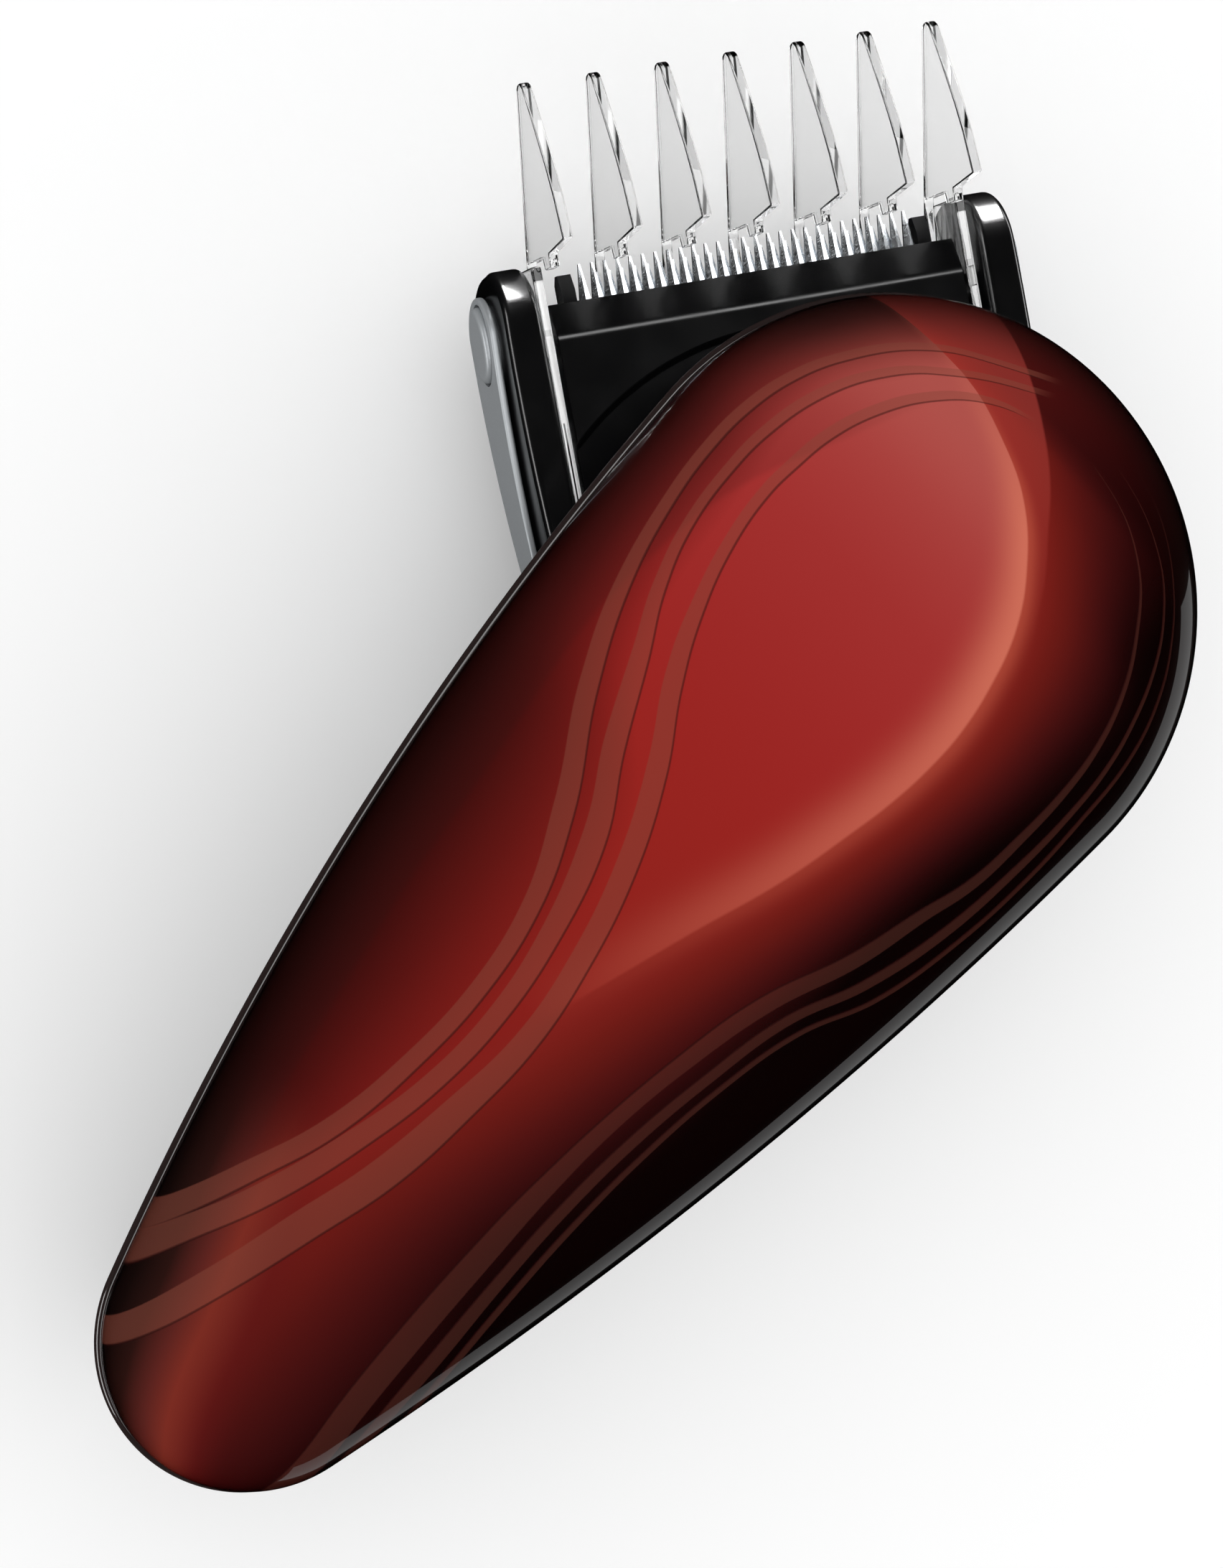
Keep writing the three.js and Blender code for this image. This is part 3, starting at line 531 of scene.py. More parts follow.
    # Round the tail, painted shade darkens the very edge and a faint painted brown highlight follows it, before
    # the dark red begins.
    tail_rim_light_and_shade = ramp(maths("DIVIDE", inwards, 18.0),
               [(0, "#180907"), (0.14, "#2E110C"), (0.3, "#60201A"), (0.45, "#80291C"), (0.7, "#640E0C"),
                (1, "#560A09")])
    at_tail = maths("MULTIPLY", soft_step(y, -78, -97), soft_step(inwards, 17, 9))
    colour = layered(colour, tail_rim_light_and_shade, at_tail)

    # Brown waves, each with a fine dark line along one edge. They fade out where they'd turn back along y.
    shown_left = maths("MAXIMUM", soft_step(y, 22, 17), soft_step(x, -5, -9))
    shown_right = soft_step(maths("SUBTRACT", x, maths("MULTIPLY", y, 1.25)), -33.5, -31)
    for waves, strength, line_side, seen in ((WAVES_LEFT, 0.42, 0.0, shown_left),
                                             (WAVES_RIGHT, 0.16, 1.0, shown_right)):
        for line, widths in waves:
            inside = maths("SUBTRACT", drawn_line(tree, y, line), x)
            width = drawn_line(tree, y, widths)
            beyond = maths("SUBTRACT", width, inside)
            band = maths("MULTIPLY", soft_step(inside, -0.08, 0.08), soft_step(beyond, -0.08, 0.08))
            band = maths("MULTIPLY", band, seen)
            colour = layered(colour, linear("#864536"), maths("MULTIPLY", band, strength))
            edge = maths("SUBTRACT", inside, maths("MULTIPLY", width, line_side))
            hair = soft_step(maths("ABSOLUTE", edge), 0.2, 0.05)
            colour = layered(colour, linear("#2A0505"), maths("MULTIPLY", maths("MULTIPLY", hair, seen), 0.6))

    # Painted shade: the wide end darkens towards its rim.
    from_middle = maths("SUBTRACT", y, WIDE_Y)
    reach = maths("SQRT", maths("ADD", maths("MULTIPLY", x, x), maths("MULTIPLY", from_middle, from_middle)))
    rim_shade = maths("MULTIPLY", soft_step(reach, 26.5, 34.5), soft_step(y, 6, 22))
    colour = layered(colour, linear("#1E0D0B"), maths("MULTIPLY", rim_shade, 0.85))
    tree.links.new(colour, shader.inputs["Base Color"])
    return material


MATERIALS = {
    "red_clear": foil_print_with_painted_light(), "black_gloss": polished_abs(), "black_satin": satin_abs(),
    "soft_rubber": elastomer(), "clear_plastic": clear_polycarbonate(), "clear_trim": clear_edge(),
    "silver_plate": silver_lacquer(), "blade_steel": ground_steel(), "steel": spring_steel(),
    "brass": turned_brass(), "nylon": natural_nylon(), "board_green": board_lacquer(),
    "cell_wrap": cell_sleeve(),
}
MATERIALS["red_print"] = MATERIALS["red_clear"]


# ---- Body ----
def flank_centre(radius, side):
    """Centre of the flank arc that both end circles touch from inside."""
    a, b, d = radius - WIDE_R, radius - TAIL_R, WIDE_Y - TAIL_Y
    along = (a * a - b * b + d * d) / (2 * d)
    return -side * math.sqrt(a * a - along * along), WIDE_Y - along


def body_stretches():
    """The outline's four arcs: centre, radius, start, sweep, steps, and the spine's y at both ends."""
    right, left = flank_centre(RIGHT_FLANK_R, 1), flank_centre(LEFT_FLANK_R, -1)

    def facing(centre, y):
        return math.atan2(y - centre[1], -centre[0])

    rows = [((0, WIDE_Y), WIDE_R, facing(right, WIDE_Y), facing(left, WIDE_Y), 96, WIDE_Y, WIDE_Y),
            (left, LEFT_FLANK_R, facing(left, WIDE_Y), facing(left, TAIL_Y), 60, WIDE_Y, TAIL_Y),
            ((0, TAIL_Y), TAIL_R, facing(left, TAIL_Y), facing(right, TAIL_Y), 60, TAIL_Y, TAIL_Y),
            (right, RIGHT_FLANK_R, facing(right, TAIL_Y), facing(right, WIDE_Y), 60, TAIL_Y, WIDE_Y)]
    return [(centre, r, start, (stop - start) % math.tau, steps, y0, y1)
            for centre, r, start, stop, steps, y0, y1 in rows]


STRETCHES = body_stretches()


def outline(inset, share=0.0, height=lambda y: 0.0):
    """Points round the body, moved inwards and then a share of the way to the spine."""
    points = []
    for centre, r, start, sweep, steps, y0, y1 in STRETCHES:
        for i in range(steps):
            a = start + sweep * i / steps
            spine = y0 + (y1 - y0) * i / steps
            x = centre[0] + (r - inset) * math.cos(a)
            y = centre[1] + (r - inset) * math.sin(a)
            points.append((x * (1 - share), y + (spine - y) * share, height(spine)))
    return points


def dome_height(y):
    return TAIL_DOME + (WIDE_DOME - TAIL_DOME) * (y - TAIL_Y) / (WIDE_Y - TAIL_Y)


def crown(share):
    return math.sqrt(1 - (1 - share) ** 2.2)


def cover():
    shares = [(i / 44) ** 2 for i in range(44)] + [0.999]
    top = COVER_FOOT + EDGE_WALL

    def dome(inset, drop):
        return [outline(inset, s, lambda y: top + (dome_height(y) - drop) * crown(s)) for s in shares]

    foot = [outline(COVER_INSET + WALL, 0, lambda y: COVER_FOOT),
            outline(COVER_INSET + 0.2, 0, lambda y: COVER_FOOT),
            outline(COVER_INSET, 0, lambda y: COVER_FOOT + 0.2)]
    obj = skin("cover", dome(COVER_INSET + WALL, WALL)[::-1] + foot + dome(COVER_INSET, 0))
    return finished(obj, "body", MATERIALS["red_clear"], ["top_cover"], angle=60)


def trim():
    """A bead round the parting line."""
    low, high = box_mm("trim_ring")[0][2], RIM_Z
    mid, half = (low + high) / 2, (high - low) / 2
    rings = []
    for i in range(17):
        a = math.pi * (i / 16 - 0.5)
        rings.append(outline(half * (1 - math.cos(a)), 0, lambda y: mid + half * math.sin(a)))
    rings += [outline(4.4, 0, lambda y: high), outline(4.4, 0, lambda y: low), rings[0]]
    obj = skin("trim_bead", rings, close_ends=False)
    return finished(obj, "body", MATERIALS["clear_trim"], ["trim_ring"], angle=50)


def belly(name, inset, top, bottom):
    """The rear housing's form: sides that draw in, and a rolled edge round a flat belly."""

    def draw(z):
        return SIDE_DRAW * (RIM_Z - z)

    rings = [outline(draw(bottom + BELLY_ROLL) + BELLY_ROLL * 0.9 + inset, 0.999, lambda y: bottom)]
    for i in range(13):
        a = i / 12 * math.pi / 2
        z = bottom + BELLY_ROLL * (1 - math.cos(a))
        step = draw(bottom + BELLY_ROLL) + BELLY_ROLL * (1 - math.sin(a)) * 0.9
        rings.append(outline(step + inset, 0, lambda y: z))
    for share in (0.3, 0.6, 0.85, 1):
        z = bottom + BELLY_ROLL + (top - bottom - BELLY_ROLL) * share
        rings.append(outline(draw(z) + inset, 0, lambda y: z))
    rings.append(outline(draw(top) + inset, 0.999, lambda y: top))
    return skin(name, rings)


SLIDER_LOW, SLIDER_HIGH = box_mm("power_slider")
SLIDER_TRAVEL = JOINTS["power_slide"]["range_m"][1] / MM
SCREWS = [[(a + b) / 2 for a, b in zip(*box_mm(f"housing_screw_{i}"))][:2] for i in (1, 2)]
SOCKET_Z = sum(box_mm("charging_jack")[i][2] for i in (0, 1)) / 2
LIGHT_Z = sum(box_mm("charging_light")[i][2] for i in (0, 1)) / 2


def swing_room(name, wall):
    """The room below the shelf that the head turns in, with a rounded inside corner."""
    y, z = STEP_Y - wall, SHELF_Z + wall
    corner = arc(y + 2.0, z - 2.0, 2.0, 170, 90, 8)
    return slab(name, [*corner, (60, z), (60, -5), (y - STEP_RAKE, -5)], -60, 60, "x")


def grip_outline(grow):
    low, high = box_mm("grip_pad")
    half1, half0 = 4.4, high[0]
    y1, y0 = low[1] + half1, high[1] - half0
    return arc(0, y1, half1 + grow, 180, 360, 24) + arc(0, y0, half0 + grow, 0, 180, 36)


def rear_housing():
    top = box_mm("rear_housing")[1][2]
    casing = belly("rear_shell", 0.4, top, BELLY_Z)
    combine(casing, [swing_room("swing", 0)], "DIFFERENCE")
    softened(casing, 0.9, 4)
    inside = combine(belly("inside", WALL, top + 5, BELLY_Z + WALL), [swing_room("keep", WALL)], "DIFFERENCE")
    combine(casing, [inside], "DIFFERENCE")
    slot_end = SLIDER_HIGH[1] + SLIDER_TRAVEL
    well = softened(block("well", -5.2, 5.2, SLIDER_LOW[1] - 0.6, slot_end + 0.6, -1, 2), 0.8, 3)
    floor = block("floor", -7, 7, SLIDER_LOW[1] - 1.6, slot_end + 0.6, BELLY_Z + 1, 3.4)
    bosses = [disc("boss", 2.5, BELLY_Z + 1, 24, x, y, sides=32) for x, y in SCREWS]
    combine(casing, [floor, *bosses], "UNION")
    middle = (SLIDER_LOW[1] + SLIDER_HIGH[1]) / 2
    holes = [disc("bearing", 13.7, SHELF_Z - 1, SHELF_Z + WALL + 1, sides=96),
             disc("socket", 2.1, -125, -104, 0, SOCKET_Z, "y", 40),
             disc("light", 1.5, -125, -104, 0, LIGHT_Z, "y", 32),
             well, block("slot", -1.9, 1.9, middle, slot_end, 0, 8),
             slab("seat", grip_outline(0.3), -1, BELLY_Z + 0.7)]
    for x, y in SCREWS:
        holes += [disc("head", 2.4, -1, 4.4, x, y, sides=32), disc("shank", 1.2, 0, 25, x, y, sides=24)]
    combine(casing, holes, "DIFFERENCE")
    return finished(casing, "body", MATERIALS["black_satin"], ["rear_housing"], angle=35)


def rubber_rest():
    """A rubber pad with rounded cross ribs."""
    low, high = box_mm("grip_pad")
    pad = softened(slab("rest_pad", grip_outline(0), 0.3, high[2]), 0.25, 3)
    rib = softened(block("rib", -3.6, 3.6, -0.9, 0.9, 0, 0.6), 0.28, 3)
    ys = [low[1] + 5 + 3.2 * i for i in range(12)]
    ribs = repeated("rest_ribs", rib, [(0, y, 0) for y in ys], MATERIALS["soft_rubber"])
    finished(ribs, "body", MATERIALS["soft_rubber"])
    return finished(pad, "body", MATERIALS["soft_rubber"], ["grip_pad"])


def power_slider():
    low, high = SLIDER_LOW, SLIDER_HIGH
    middle = (low[1] + high[1]) / 2
    knob = softened(block("slider_knob", low[0], high[0], low[1], high[1], 0.5, 1.6), 0.35, 3)
    combine(knob, [block("stem", -1.5, 1.5, middle + 0.4, middle + 2.4, 1.4, high[2])], "UNION")
    rib = softened(block("slider_rib", -3.6, 3.6, -0.3, 0.3, 0.15, 0.7), 0.14, 2)
    places = [(0, middle - 2 + 1.4 * i, 0) for i in range(4)]
    ribs = repeated("slider_ribs", rib, places, MATERIALS["silver_plate"])
    finished(ribs, "slider", MATERIALS["silver_plate"])
    return finished(knob, "slider", MATERIALS["silver_plate"], ["power_slider"])


def screws(name, body, nodes):
    """Cross-head screws, one shape at each CAD screw's place."""
    low, high = box_mm(nodes[0])
    length = high[2] - low[2]
    shape = turned("screw", [(0, 0), (1.5, 0), (1.95, 0.2), (2.1, 0.6), (2.1, 1.4), (1, 1.4),
                             (1, length - 0.6), (0.3, length), (0, length)], sides=40)
    cross = [block("slot_a", -1.2, 1.2, -0.25, 0.25, -1, 0.7),
             block("slot_b", -0.25, 0.25, -1.2, 1.2, -1, 0.7)]
    combine(shape, cross, "DIFFERENCE")
    places = []
    for node in nodes:
        a, b = box_mm(node)
        places.append(((a[0] + b[0]) / 2, (a[1] + b[1]) / 2, a[2]))
    obj = repeated(name, shape, places, MATERIALS["steel"])
    return finished(obj, body, MATERIALS["steel"], nodes)


# ---- Head, drawn with +Y towards the teeth ----
DRUM_R, HEAD_HALF, HEAD_TIP = 25.0, 24.6, 43.2
FACE_Z, LIP_Z, PART_Z, HUB_R = 19.2, 17.6, 9.4, 13.4
HEAD_SCREWS = [(-16, 10), (16, 10), (0, -19.5)]
PIVOT_Y = 21


def head_plan(inset, tip):
    r, half = DRUM_R - inset, HEAD_HALF - inset
    meet = math.degrees(math.acos(half / r))
    return arc(0, 0, r, 180 - meet, 360 + meet, 90) + [(half, tip), (-half, tip)]


def head_housing():
    shell = slab("head_shell", head_plan(0, HEAD_TIP), PART_Z, FACE_Z)
    crease = arc(38.9, FACE_Z - 2.5, 2.5, 67.2, 90, 6)
    side = [(-30, PART_Z - 1), (36.9, PART_Z - 1), (36.9, 13.4), (HEAD_TIP, 16.8), (HEAD_TIP, LIP_Z), *crease,
            (-30, FACE_Z)]
    combine(shell, [slab("side", side, -30, 30, "x")], "INTERSECT")
    step = turned("step", [(14, FACE_Z - 0.7), (36.2, FACE_Z - 0.7), (36.8, FACE_Z + 0.01),
                           (36.8, FACE_Z + 1), (14, FACE_Z + 1), (14, FACE_Z - 0.7)], sides=180)
    combine(shell, [step], "DIFFERENCE")
    softened(shell, 0.35, 3, 25)
    room_side = [(-30, PART_Z - 1), (35.2, PART_Z - 1), (35.2, 12), (50, 12), (50, 16.9), (38.5, 16.9),
                 (36, FACE_Z - WALL), (-30, FACE_Z - WALL)]
    room = combine(slab("room", head_plan(WALL, 60), PART_Z - 2, FACE_Z + 1),
                   [slab("room_side", room_side, -30, 30, "x")], "INTERSECT")
    combine(shell, [room], "DIFFERENCE")
    hub_top = SHELF_Z + WALL + 3
    hub = turned("hub", [(HUB_R - 2.6, FACE_Z - 1.5), (HUB_R, FACE_Z - 1.5), (HUB_R, hub_top - 2.8),
                         (HUB_R - 1, hub_top - 2.8), (HUB_R - 1, hub_top - 1.3), (HUB_R, hub_top - 1.3),
                         (HUB_R, hub_top), (HUB_R - 2.6, hub_top), (HUB_R - 2.6, FACE_Z - 1.5)])
    combine(shell, [disc("hub_hole", HUB_R - 1, PART_Z, 40, sides=96)], "DIFFERENCE")
    combine(shell, [hub], "UNION")
    pillars = [disc("pillar", 2.4, PART_Z, FACE_Z - 1, x, y, sides=28) for x, y in HEAD_SCREWS]
    combine(shell, [*pillars, disc("pivot_boss", 3.4, 15.8, FACE_Z - 1, 0, PIVOT_Y, sides=32)], "UNION")
    grooves = [block("groove", x - 0.9, x + 0.9, 4, HEAD_TIP + 1, 14.6, 16.2)
               for x in (-HEAD_HALF - 0.1, HEAD_HALF + 0.1)]
    bores = [disc("bore", 1.05, PART_Z - 1, 15.5, x, y, sides=20) for x, y in HEAD_SCREWS]
    combine(shell, [*grooves, *bores, disc("pivot_bore", 1.2, 10, 17.6, 0, PIVOT_Y, sides=24)], "DIFFERENCE")
    return finished(head_placed(shell), "head", MATERIALS["black_gloss"],
                    ["head_housing"], angle=30)


def head_back_cover():
    top = box_mm("head_back_cover")[1][2]
    turns = [math.pi / 2 * i / 8 for i in range(9)]
    rounding = [(DRUM_R - 3 + 3 * math.sin(a), 3 - 3 * math.cos(a)) for a in turns]
    drum = turned("back_cover", [(0, 0), *rounding, (DRUM_R, top), (0, top)], sides=128)
    toe = slab("toe", [(10, 1.2), (21, 1.2), (36.4, top - 0.4), (36.4, top), (10, top)], -21, 21, "x")
    softened(toe, 0.8, 3)
    combine(drum, [toe], "UNION")
    for x, y in HEAD_SCREWS:
        combine(drum, [disc("seat", 2.4, -1, 3.2, x, y, sides=32)], "DIFFERENCE")
    groove = turned("groove", [(19.6, -0.1), (20.2, -0.1), (20.2, 0.35), (19.6, 0.35), (19.6, -0.1)])
    combine(drum, [groove], "DIFFERENCE")
    hollow = turned("hollow", [(0, WALL), (DRUM_R - WALL, WALL), (DRUM_R - WALL, top + 1), (0, top + 1)])
    for x, y in HEAD_SCREWS:
        combine(hollow, [disc("post", 3.4, 0, top + 2, x, y, sides=28)], "DIFFERENCE")
    toe_room = slab("toe_room", [(9, 3), (20, 3), (32, top + 1), (9, top + 1)], -19, 19, "x")
    combine(drum, [hollow, toe_room], "DIFFERENCE")
    for x, y in HEAD_SCREWS:
        combine(drum, [disc("bore", 1.25, -1, top + 1, x, y, sides=20)], "DIFFERENCE")
    return finished(head_placed(drum), "head", MATERIALS["black_satin"],
                    ["head_back_cover"], angle=35)


# ---- Blades ----
BLADE_HALF, TEETH = 20.5, 27
BLADE_LOW, BLADE_HIGH = [box_mm("guard_blade")[i][2] for i in (0, 1)]
MOVING_LOW, MOVING_HIGH = [box_mm("moving_blade")[i][2] for i in (0, 1)]


def tooth(name, half, root, tip, low, high, ridge):
    """A pointed tooth with a ridge along its top."""
    mid = (low + high) / 2
    tip_half = 0.12
    points = [(-half, root, low), (half, root, low), (tip_half, tip, low), (-tip_half, tip, low),
              (-half, root, high - ridge), (half, root, high - ridge), (tip_half, tip, mid),
              (-tip_half, tip, mid), (0, root, high), (0, tip - 1.2, high - 0.1)]
    faces = [(0, 3, 2, 1), (0, 1, 5, 8, 4), (1, 2, 6, 5), (0, 4, 7, 3), (2, 3, 7, 6), (4, 8, 9, 7),
             (5, 6, 9, 8), (6, 7, 9)]
    return mesh_from(name, points, faces)


def blade(name, body, node, half, back, root, tip, teeth, low, high):
    pitch = 2 * half / teeth
    plate = softened(block(name, -half, half, back, root, low, high), 0.12, 2)
    shape = tooth("tooth", pitch * 0.47, root - 0.15, tip, low, high, 0.25)
    places = [((i + 0.5) * pitch - half, 0, 0) for i in range(teeth)]
    row = repeated(f"{name}_teeth", shape, places, MATERIALS["blade_steel"])
    finished(head_placed(row), body, MATERIALS["blade_steel"], angle=20)
    return finished(head_placed(plate), body, MATERIALS["blade_steel"], [node], angle=30)


def cutter_frame():
    low, high = box_mm("cutter_frame")[0][2], BLADE_HIGH
    top = BLADE_LOW - 0.3
    shell = block("cutter_frame_shell", -22.5, 22.5, 37.2, 42.4, low, top)
    combine(shell, [block("window", -19.9, 19.9, 36, 43, low - 1, top + 1)], "DIFFERENCE")
    rails = [block("front", -20, 20, 41.7, 42.4, low, 14), block("back", -20, 20, 37.2, 37.9, 14.4, top)]
    combine(shell, rails, "UNION")
    combine(shell, [block("notch", -6.4, 6.4, 41, 43, low - 1, 14.6)], "DIFFERENCE")
    for x in (-21.6, 21.6):
        ear = [(42, 14), (45.4, 14), (46.4, 14.8), (46.4, 15.8), (44.6, high), (42, high)]
        combine(shell, [slab("ear", ear, x - 0.8, x + 0.8, "x")], "UNION")
    softened(shell, 0.15, 2)
    return finished(head_placed(shell), "head", MATERIALS["black_satin"],
                    ["cutter_frame"], angle=30)


# ---- Comb ----
FINS, FIN_PITCH, FIN_T = 7, 8.1, 1.2
BAR_BACK, BAR_LOW, BAR_HIGH = 37.6, 10.2, 13.0
RAIL_U, RAIL_T = 25.0, 1.2
ARM_U, ARM_OUT = 26.6, 30.9
PLATE_FOOT = 31.2
BUTTON_V, BUTTON_Z = 40.2, 14.2


def fin():
    """One clear fin: a leaf with a rounded tip, a hooked foot and a stem that runs back under the blades."""
    tip = arc(65.9, 23.0, 1.5, -55, 65, 12)
    profile = [(BAR_BACK, BAR_LOW), (42.2, BAR_LOW), *tip, (60.8, 26.6), (57.4, 27.8), (54, 28.7),
               (49.2, 29.4), (48.4, 22.8), (46.9, 22.4), (46.9, 19.9), (48.3, 19.6), (48.3, 13.6),
               (47.4, BAR_HIGH), (BAR_BACK, BAR_HIGH)]
    return softened(slab("fin", profile, -FIN_T / 2, FIN_T / 2, "x"), 0.22, 3, 35)


def comb():
    half = RAIL_U + RAIL_T
    bar = softened(block("comb_bar", -half, half, BAR_BACK, 40.0, BAR_LOW, BAR_HIGH), 0.3, 3)
    rail_side = [(4, 12.4), (36, BAR_LOW), (46.4, BAR_LOW), (47.6, 12), (47.6, 19.4), (4, 18.4)]
    for side in (-1, 1):
        inner, outer = sorted((side * RAIL_U, side * half))
        rail = softened(slab("rail", rail_side, inner, outer, "x"), 0.3, 3)
        rib_in, rib_out = sorted((side * (RAIL_U - 0.7), side * (RAIL_U + 0.3)))
        combine(bar, [rail, block("rib", rib_in, rib_out, 5, 30, 15.0, 15.8)], "UNION")
    finished(head_placed(bar), "comb", MATERIALS["clear_plastic"], ["comb_rack"], angle=35)
    places = [((i - (FINS - 1) / 2) * FIN_PITCH, 0, 0) for i in range(FINS)]
    fins = repeated("comb_fins", fin(), places, MATERIALS["clear_plastic"])
    return finished(head_placed(fins), "comb", MATERIALS["clear_plastic"], angle=35)


def arm_bow(v):
    """How far out an arm's outer face is at each place along it."""
    return ARM_OUT - 0.0016 * (v - 34) ** 2


def bowed(obj, inner, outer):
    """Moves a flat bar's outer face out to the arm's bow, in proportion to how far out each point is."""
    for vertex in obj.data.vertices:
        u, v, _ = vertex.co / MM
        share = (u - inner) / (outer - inner)
        vertex.co.x = (u + share * (arm_bow(v) - ARM_OUT)) * MM
    return obj


def side_bar(name, profile, inner, outer, radius):
    """A bar drawn by its side profile, split along its length so that it can bow."""
    bar = slab(name, profile, inner, outer, "x")
    softened(bar, radius, 5, 35)
    work = bmesh.new()
    work.from_mesh(bar.data)
    for v in range(0, 48, 4):
        cut = work.verts[:] + work.edges[:] + work.faces[:]
        bmesh.ops.bisect_plane(work, geom=cut, plane_co=(0, v * MM, 0), plane_no=(0, 1, 0))
    work.to_mesh(bar.data)
    work.free()
    return bar


def mirrored(obj, side):
    """obj itself on the +X side, or turned to the other side."""
    if side < 0:
        obj.data.transform(Matrix.Scale(-1, 4, (1, 0, 0)))
        obj.data.flip_normals()
    return obj


def button_form(name, grow, foot, top):
    a, b = 4.3 + grow, 2.9 + grow
    turns = (math.tau * i / 64 for i in range(64))
    oval = [(BUTTON_V + a * math.cos(t), BUTTON_Z + b * math.sin(t)) for t in turns]
    return slab(name, oval, foot, top, "x")


def comb_arm(word, side):
    profile = [(-2, 9.5), *arc(40.5, 14, 7.3, -75, 0, 16), *arc(42, 15.5, 6, 0, 90, 20), (14, 21.5),
               (-2, 16.5)]
    arm = bowed(side_bar(f"arm_{word}", profile, ARM_U, ARM_OUT, 0.9), ARM_U, ARM_OUT)
    if side < 0:
        combine(arm, [button_form("pocket", 0.35, 27.9, 40)], "DIFFERENCE")
    return finished(head_placed(mirrored(arm, side)), "comb", MATERIALS["black_gloss"],
                    [f"comb_arm_{word}"], angle=35)


def side_plate(word, side):
    end = [(40.2 + 5.4 * c, 13.7 + 4.8 * s) for c, s in arc(0, 0, 1, -78, 82, 36)]
    profile = [(2, 10.4), *end, (16, 16.4), (2, 13.6)]
    plate = bowed(side_bar(f"plate_{word}", profile, PLATE_FOOT, 32.1, 0.3), ARM_U, PLATE_FOOT)
    if side < 0:
        combine(plate, [button_form("window", 0.35, 28, 40)], "DIFFERENCE")
    return finished(head_placed(mirrored(plate, side)), "comb", MATERIALS["silver_plate"],
                    [f"arm_plate_{word}"], angle=35)


def length_button():
    button = softened(button_form("length_button_cap", 0, 29, 32.6), 0.6, 4)
    return finished(head_placed(mirrored(button, -1)), "button", MATERIALS["silver_plate"],
                    ["length_button"])


# ---- Making ----
cover()
trim()
rear_housing()
rubber_rest()
power_slider()
screws("housing_screws", "body", ["housing_screw_1", "housing_screw_2"])
head_housing()
head_back_cover()
screws("head_screws", "head", ["head_screw_1", "head_screw_2", "head_screw_3"])
blade("guard_plate", "head", "guard_blade", BLADE_HALF, back=37.6, root=42.8, tip=47.3, teeth=TEETH,
      low=BLADE_LOW, high=BLADE_HIGH)
blade("moving_plate", "cutter", "moving_blade", BLADE_HALF - 2.2, back=38.6, root=42.4, tip=46.2,
      teeth=TEETH - 3, low=MOVING_LOW, high=MOVING_HIGH)
cutter_frame()
comb()
for word, side in (("left", -1), ("right", 1)):
    comb_arm(word, side)
    side_plate(word, side)
length_button()

# The CAD nodes that still show get the finish of their slot.
for part in frame["record"]["subparts"]:
    node = frame["nodes"][part["node"]]
    finish = MATERIALS[part["material_slot"]]
    for place in node.material_slots:
        place.material = finish
    if not node.material_slots:
        node.data.materials.append(finish)


# ---- Stage ----
def floor():
    """A pale sweep that the clipper lies on."""
    half = 3000
    obj = block("floor", -half, half, -half, half, -3, -0.02)
    material, _, shader = surface("pale paper", "#F6F6F6", 0.9)
    shader.inputs["Specular IOR Level"].default_value = 0.0
    shader.inputs["Emission Color"].default_value = linear("#FFFFFF")
    shader.inputs["Emission Strength"].default_value = 0.12
    obj.data.materials.append(material)
    obj.visible_glossy = False


def flag():
    """A black card behind the comb. Only reflections see it, and it keeps the comb off the cover's rim."""
    obj = head_placed(block("flag", -34, 34, 40, 40.5, 24.5, 38))
    material, _, shader = surface("black flock", "#000000", 1.0)
    shader.inputs["Specular IOR Level"].default_value = 0.0
    obj.data.materials.append(material)
    obj.visible_camera = False
    obj.visible_diffuse = False
    obj.visible_transmission = False
    obj.visible_shadow = False


def daylight():
    """Even white light from all round. Reflections come from the lamps alone."""
    world = bpy.data.worlds.new("studio")
    world.use_nodes = True
    world.node_tree.nodes["Background"].inputs["Color"].default_value = (1, 1, 1, 1)
    world.node_tree.nodes["Background"].inputs["Strength"].default_value = 1.0
    world.cycles_visibility.glossy = False
    bpy.context.scene.world = world


LAMP_AIM = Vector((0, 0, 0.02))


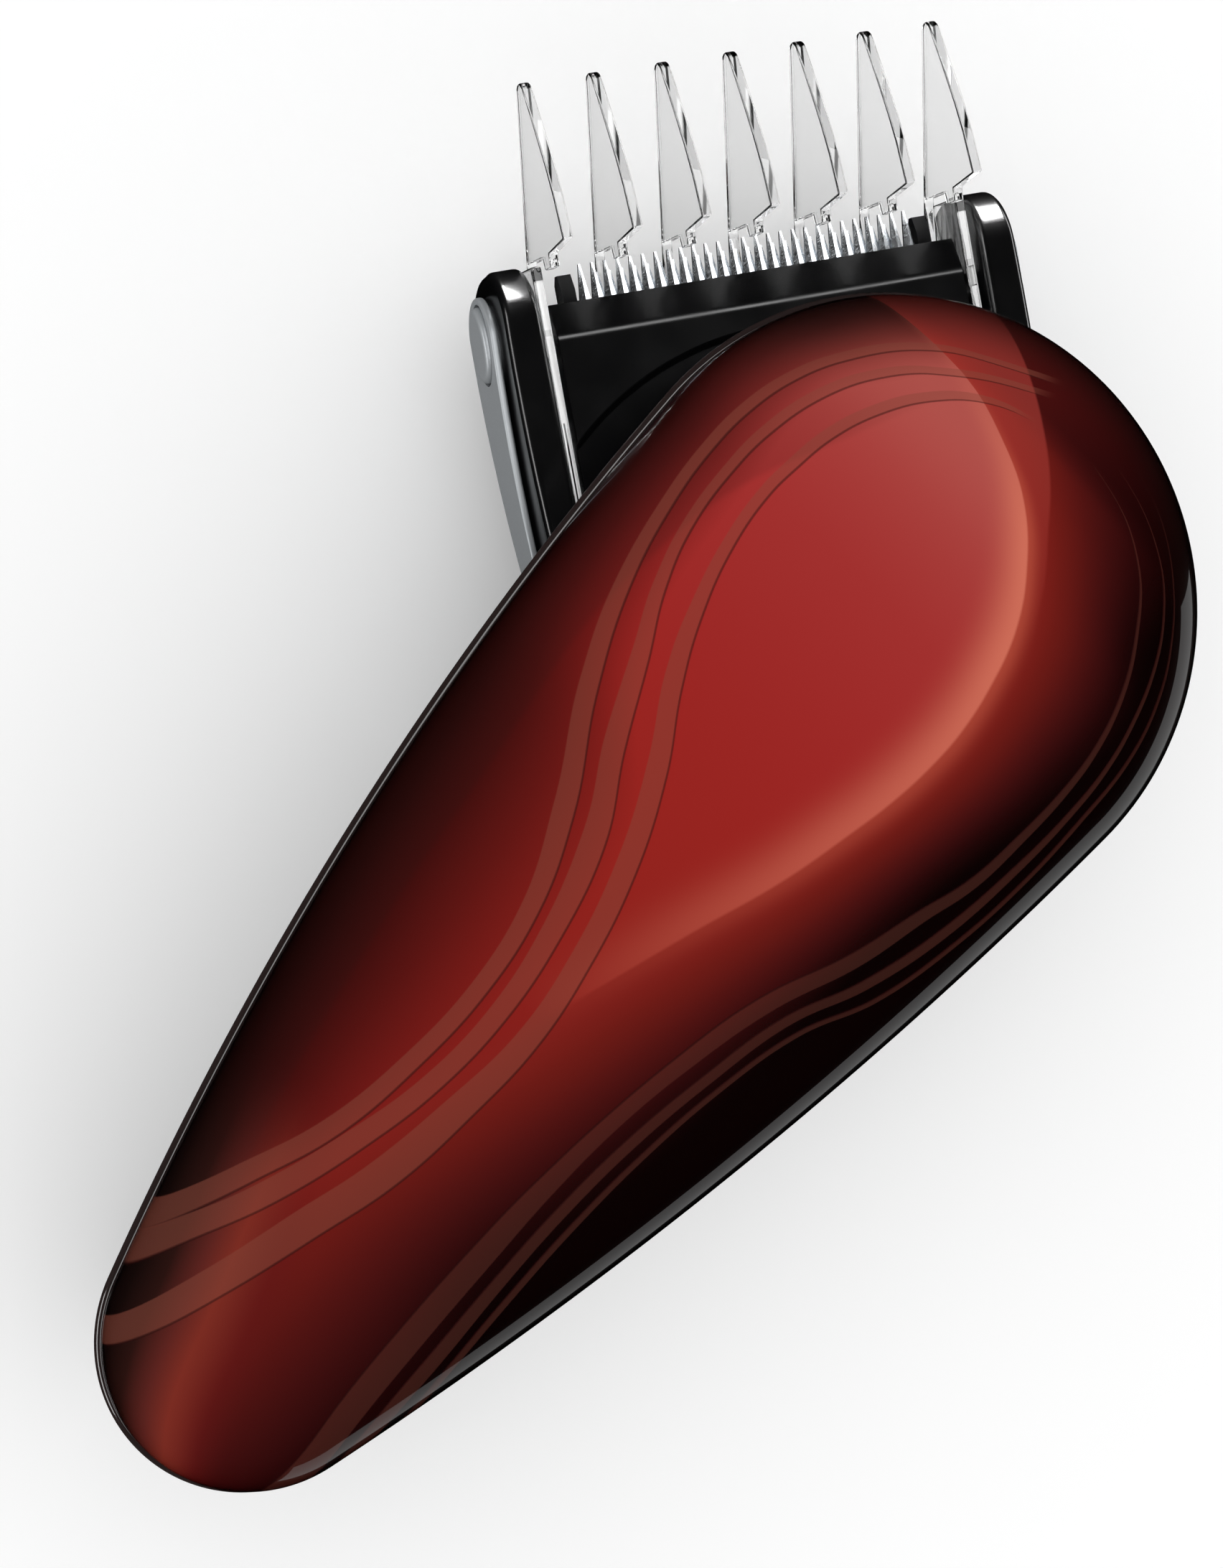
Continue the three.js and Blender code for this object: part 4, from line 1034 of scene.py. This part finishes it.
def lamp(name, place, width, height, power, pieces):
    """A soft box aimed at the clipper. It lights these pieces alone, and only their gloss."""
    light = bpy.data.lights.new(name, "AREA")
    light.shape = "RECTANGLE"
    light.size, light.size_y = width, height
    light.energy = power
    obj = bpy.data.objects.new(name, light)
    bpy.context.scene.collection.objects.link(obj)
    turn = (LAMP_AIM - Vector(place)).to_track_quat("-Z", "Y").to_matrix().to_4x4()
    obj.matrix_world = Matrix.Translation(place) @ turn
    obj.visible_camera = False
    obj.visible_diffuse = False
    group = bpy.data.collections.new(name)
    for piece in pieces:
        group.objects.link(piece)
    obj.light_linking.receiver_collection = group


def shown(*starts):
    return [o for o in bpy.data.objects if o.type == "MESH" and o.name.startswith(starts)]


floor()
flag()
daylight()
bright = shown("guard_plate", "moving_plate", "plate_", "length_button", "comb_", "trim_bead", "head_screws",
               "housing_screws", "slider_")
lamp("overhead", (0.1, 0.1, 1.1), 1.4, 1.4, 22, bright)
toward_tip = HEAD_AHEAD * 0.6
lamp("tip_box", (toward_tip.x, toward_tip.y + 0.1, 0.26), 0.5, 0.4, 45, shown("arm_"))
lamp("crease_box", (-0.12, 0.4, 0.78), 0.3, 0.14, 0.8, shown("head_shell"))
casing = shown("rear_shell", "back_cover", "rest_")
for name, x, y in (("ring_right", 0.8, -0.3), ("ring_back", 0.2, 0.9), ("ring_front", -0.5, -0.8)):
    lamp(name, (x, y, 0.25), 0.9, 0.3, 5, bright + shown("head_shell", "arm_"))
    lamp(f"{name}_casing", (x, y, 0.3), 0.7, 0.4, 25, casing)
lamp("low_card", (0.7, 0.1, -0.25), 1.2, 0.35, 0.6, shown("cover", "trim_bead"))


def camera():
    """Looks down on the cover, a little from the clipper's left, with the head at the top of the view."""
    place, aim = Vector((-0.0997, -0.1147, 0.4577)), Vector((-0.009, -0.0301, 0.0252))
    roll, yaw = math.radians(43.03), math.radians(16)
    across = Vector((math.cos(roll), math.sin(roll), 0))
    up = Vector((-math.sin(roll), math.cos(roll), 0))
    right = across * math.cos(yaw) + Vector((0, 0, math.sin(yaw)))
    data = bpy.data.cameras.new("camera")
    data.lens = 93.46
    data.sensor_width = 36
    data.clip_start = 0.01
    obj = bpy.data.objects.new("camera", data)
    bpy.context.scene.collection.objects.link(obj)
    turn = Matrix((right, up, (place - aim).normalized())).transposed().to_4x4()
    obj.matrix_world = Matrix.Translation(place) @ turn
    bpy.context.scene.camera = obj


camera()
bpy.context.scene.view_settings.view_transform = "Standard"
